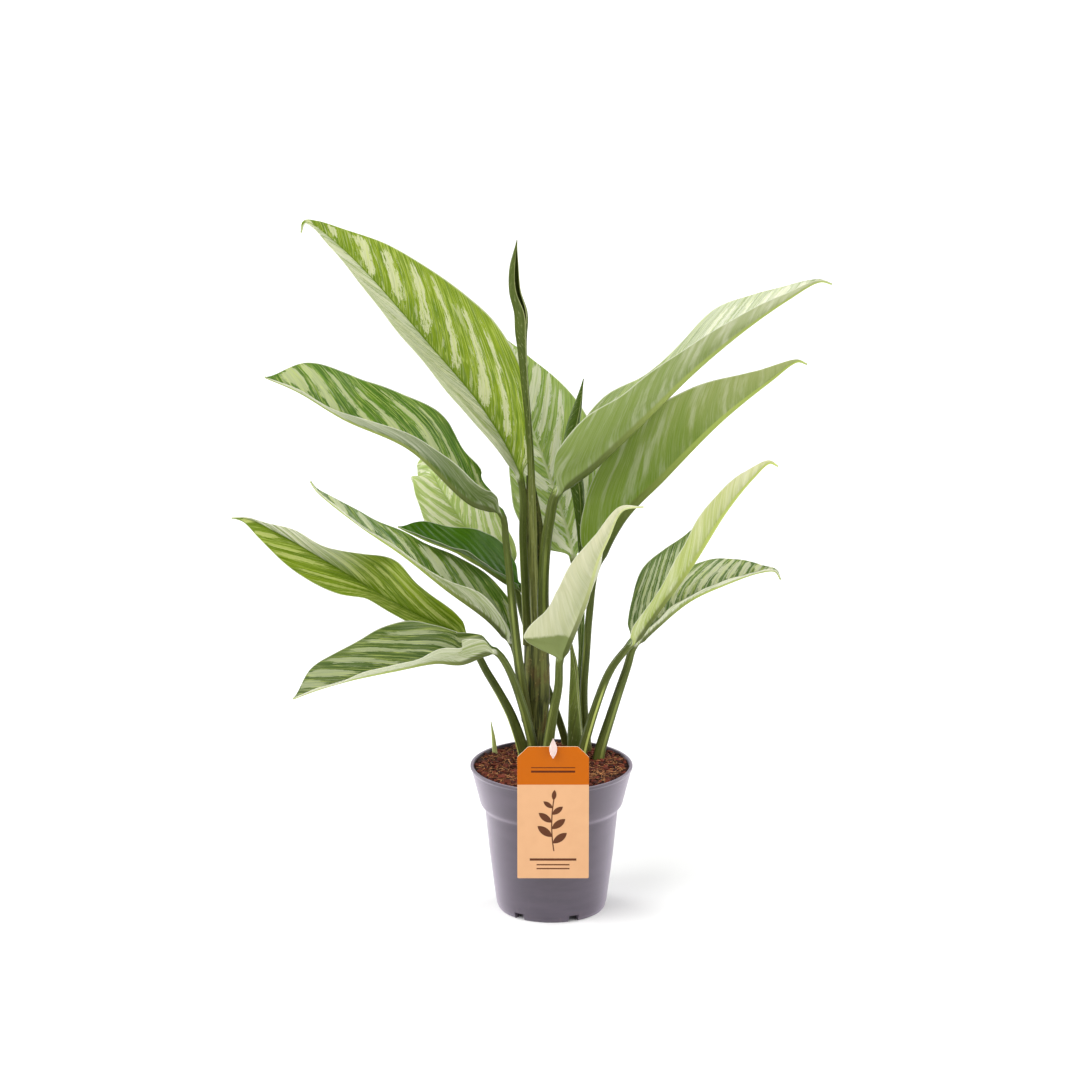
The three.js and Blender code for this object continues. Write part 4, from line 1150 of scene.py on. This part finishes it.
def pin_mesh():
    """The stake from the soil over the rim and through the card, with a drop-shaped head in front of it."""
    path = ((PIN_Y, PIN_BOTTOM), (PIN_Y, PIN_BEND_Z), (PIN_Y - 3, PIN_NECK_Z - 3), (PIN_Y - 7, PIN_NECK_Z),
            (PIN_NECK_Y, PIN_NECK_Z))
    stake = solid_tube([(PIN_X, y, z) for y, z in path], (PIN_RADIUS,) * len(path), rows=60, ring=20)
    heights = (PIN_HEAD_BOTTOM, (PIN_HEAD_BOTTOM + PIN_HEAD_TOP) / 2, PIN_HEAD_TOP)
    head = solid_tube([(PIN_X, PIN_HEAD_Y, z) for z in heights], PIN_HEAD_RADII, rows=36, ring=28)
    for v in head.verts:
        v.co.y = PIN_HEAD_Y + (v.co.y - PIN_HEAD_Y) * PIN_HEAD_FLATNESS
    return gathered(stake, head)


def studio_floor():
    bm = bmesh.new()
    bmesh.ops.create_grid(bm, x_segments=2, y_segments=2, size=FLOOR_HALF_SIDE)
    mesh = as_mesh(bm, "studio_floor")
    mesh.materials.append(floor_finish())
    return placed("studio_floor", mesh)


def aimed(name, data, place, target):
    """A light or the camera at a place, turned to a target."""
    thing = placed(name, data)
    thing.location = place
    thing.rotation_euler = (Vector(target) - Vector(place)).to_track_quat("-Z", "Y").to_euler()
    return thing


def soft_sun(name, place, strength, spread):
    """Even light from far away, as wide as a large soft box."""
    light = bpy.data.lights.new(name, "SUN")
    light.energy, light.angle = strength, radians(spread)
    aimed(name, light, place, (0, 0, 0))


# The plant
for number, name in enumerate(LEAVES):
    leaf = Leaf(name, number)
    mesh = tube_grid(len(leaf.rows), RING, leaf.place, leaf.chart)
    add_piece(mesh, name.replace("leaf_", "") + "_leaf", leaf_finish(leaf), leaf.plan.slot, name)
for number, name in enumerate(SHOOTS):
    roll = Roll(name)
    mesh = tube_grid(roll.plan.rows, 2 * ROLL_PLACES, roll.place, roll.chart)
    add_piece(mesh, name + "_roll", shoot_finish(roll, 30 + number * 11), roll.plan.slot, name)
cane = solid_tube(CANE_AXIS, CANE_RADIUS, rows=90, ring=48, swell=cane_swell)
sheath = solid_tube(SHEATH_AXIS, SHEATH_RADIUS, rows=60, ring=40, swell=sheath_swell, flat=SHEATH_FLATNESS)
add_piece(gathered(cane, sheath), "main_cane", cane_finish(), "stem", "cane")

# The pot and its soil
pot = add_piece(turned(rounded(POT_SECTION), POT_STEPS), "nursery_pot", pot_finish(), "pot", "pot")
cut(pot, notch_cutter())
sharpen(pot, 40)
add_piece(soil_bed(), "soil_bed", soil_finish(), "soil", "soil")
rng = random.Random(SOIL_SEED)
crumb_brown = crumb_finish("crumb_brown", (12, 5, 4), (128, 58, 40))
crumbs = add_piece(soil_crumbs(rng), "soil_crumbs", crumb_brown, "soil")
sharpen(crumbs, 30)
add_piece(soil_fibres(rng), "soil_fibres", crumb_finish("coir_fibre", (60, 22, 14), (236, 168, 110)), "soil")

# The card and its pin
card = add_piece(card_plate(), "hanging_card", card_finish(), "card", "card")
cut(card, punch())
sharpen(card, 30)
add_piece(pin_mesh(), "clear_pin", pin_finish(), "pin", "pin")

# The studio
studio_floor()
for light in LIGHTS:
    soft_sun(*light)
world = bpy.data.worlds.new("studio")
world.use_nodes = True
sky = world.node_tree.nodes["Background"]
sky.inputs["Color"].default_value = (1, 1, 1, 1)
sky.inputs["Strength"].default_value = SKY_STRENGTH
bpy.context.scene.world = world

camera_data = bpy.data.cameras.new("camera")
camera_data.lens, camera_data.sensor_width = CAMERA_LENS, CAMERA_SENSOR
camera_data.clip_end = CAMERA_REACH
camera = aimed("camera", camera_data, Vector(CAMERA_PLACE) * MM, Vector(CAMERA_TARGET) * MM)
bpy.context.scene.camera = camera
bpy.context.scene.view_settings.view_transform = "Standard"
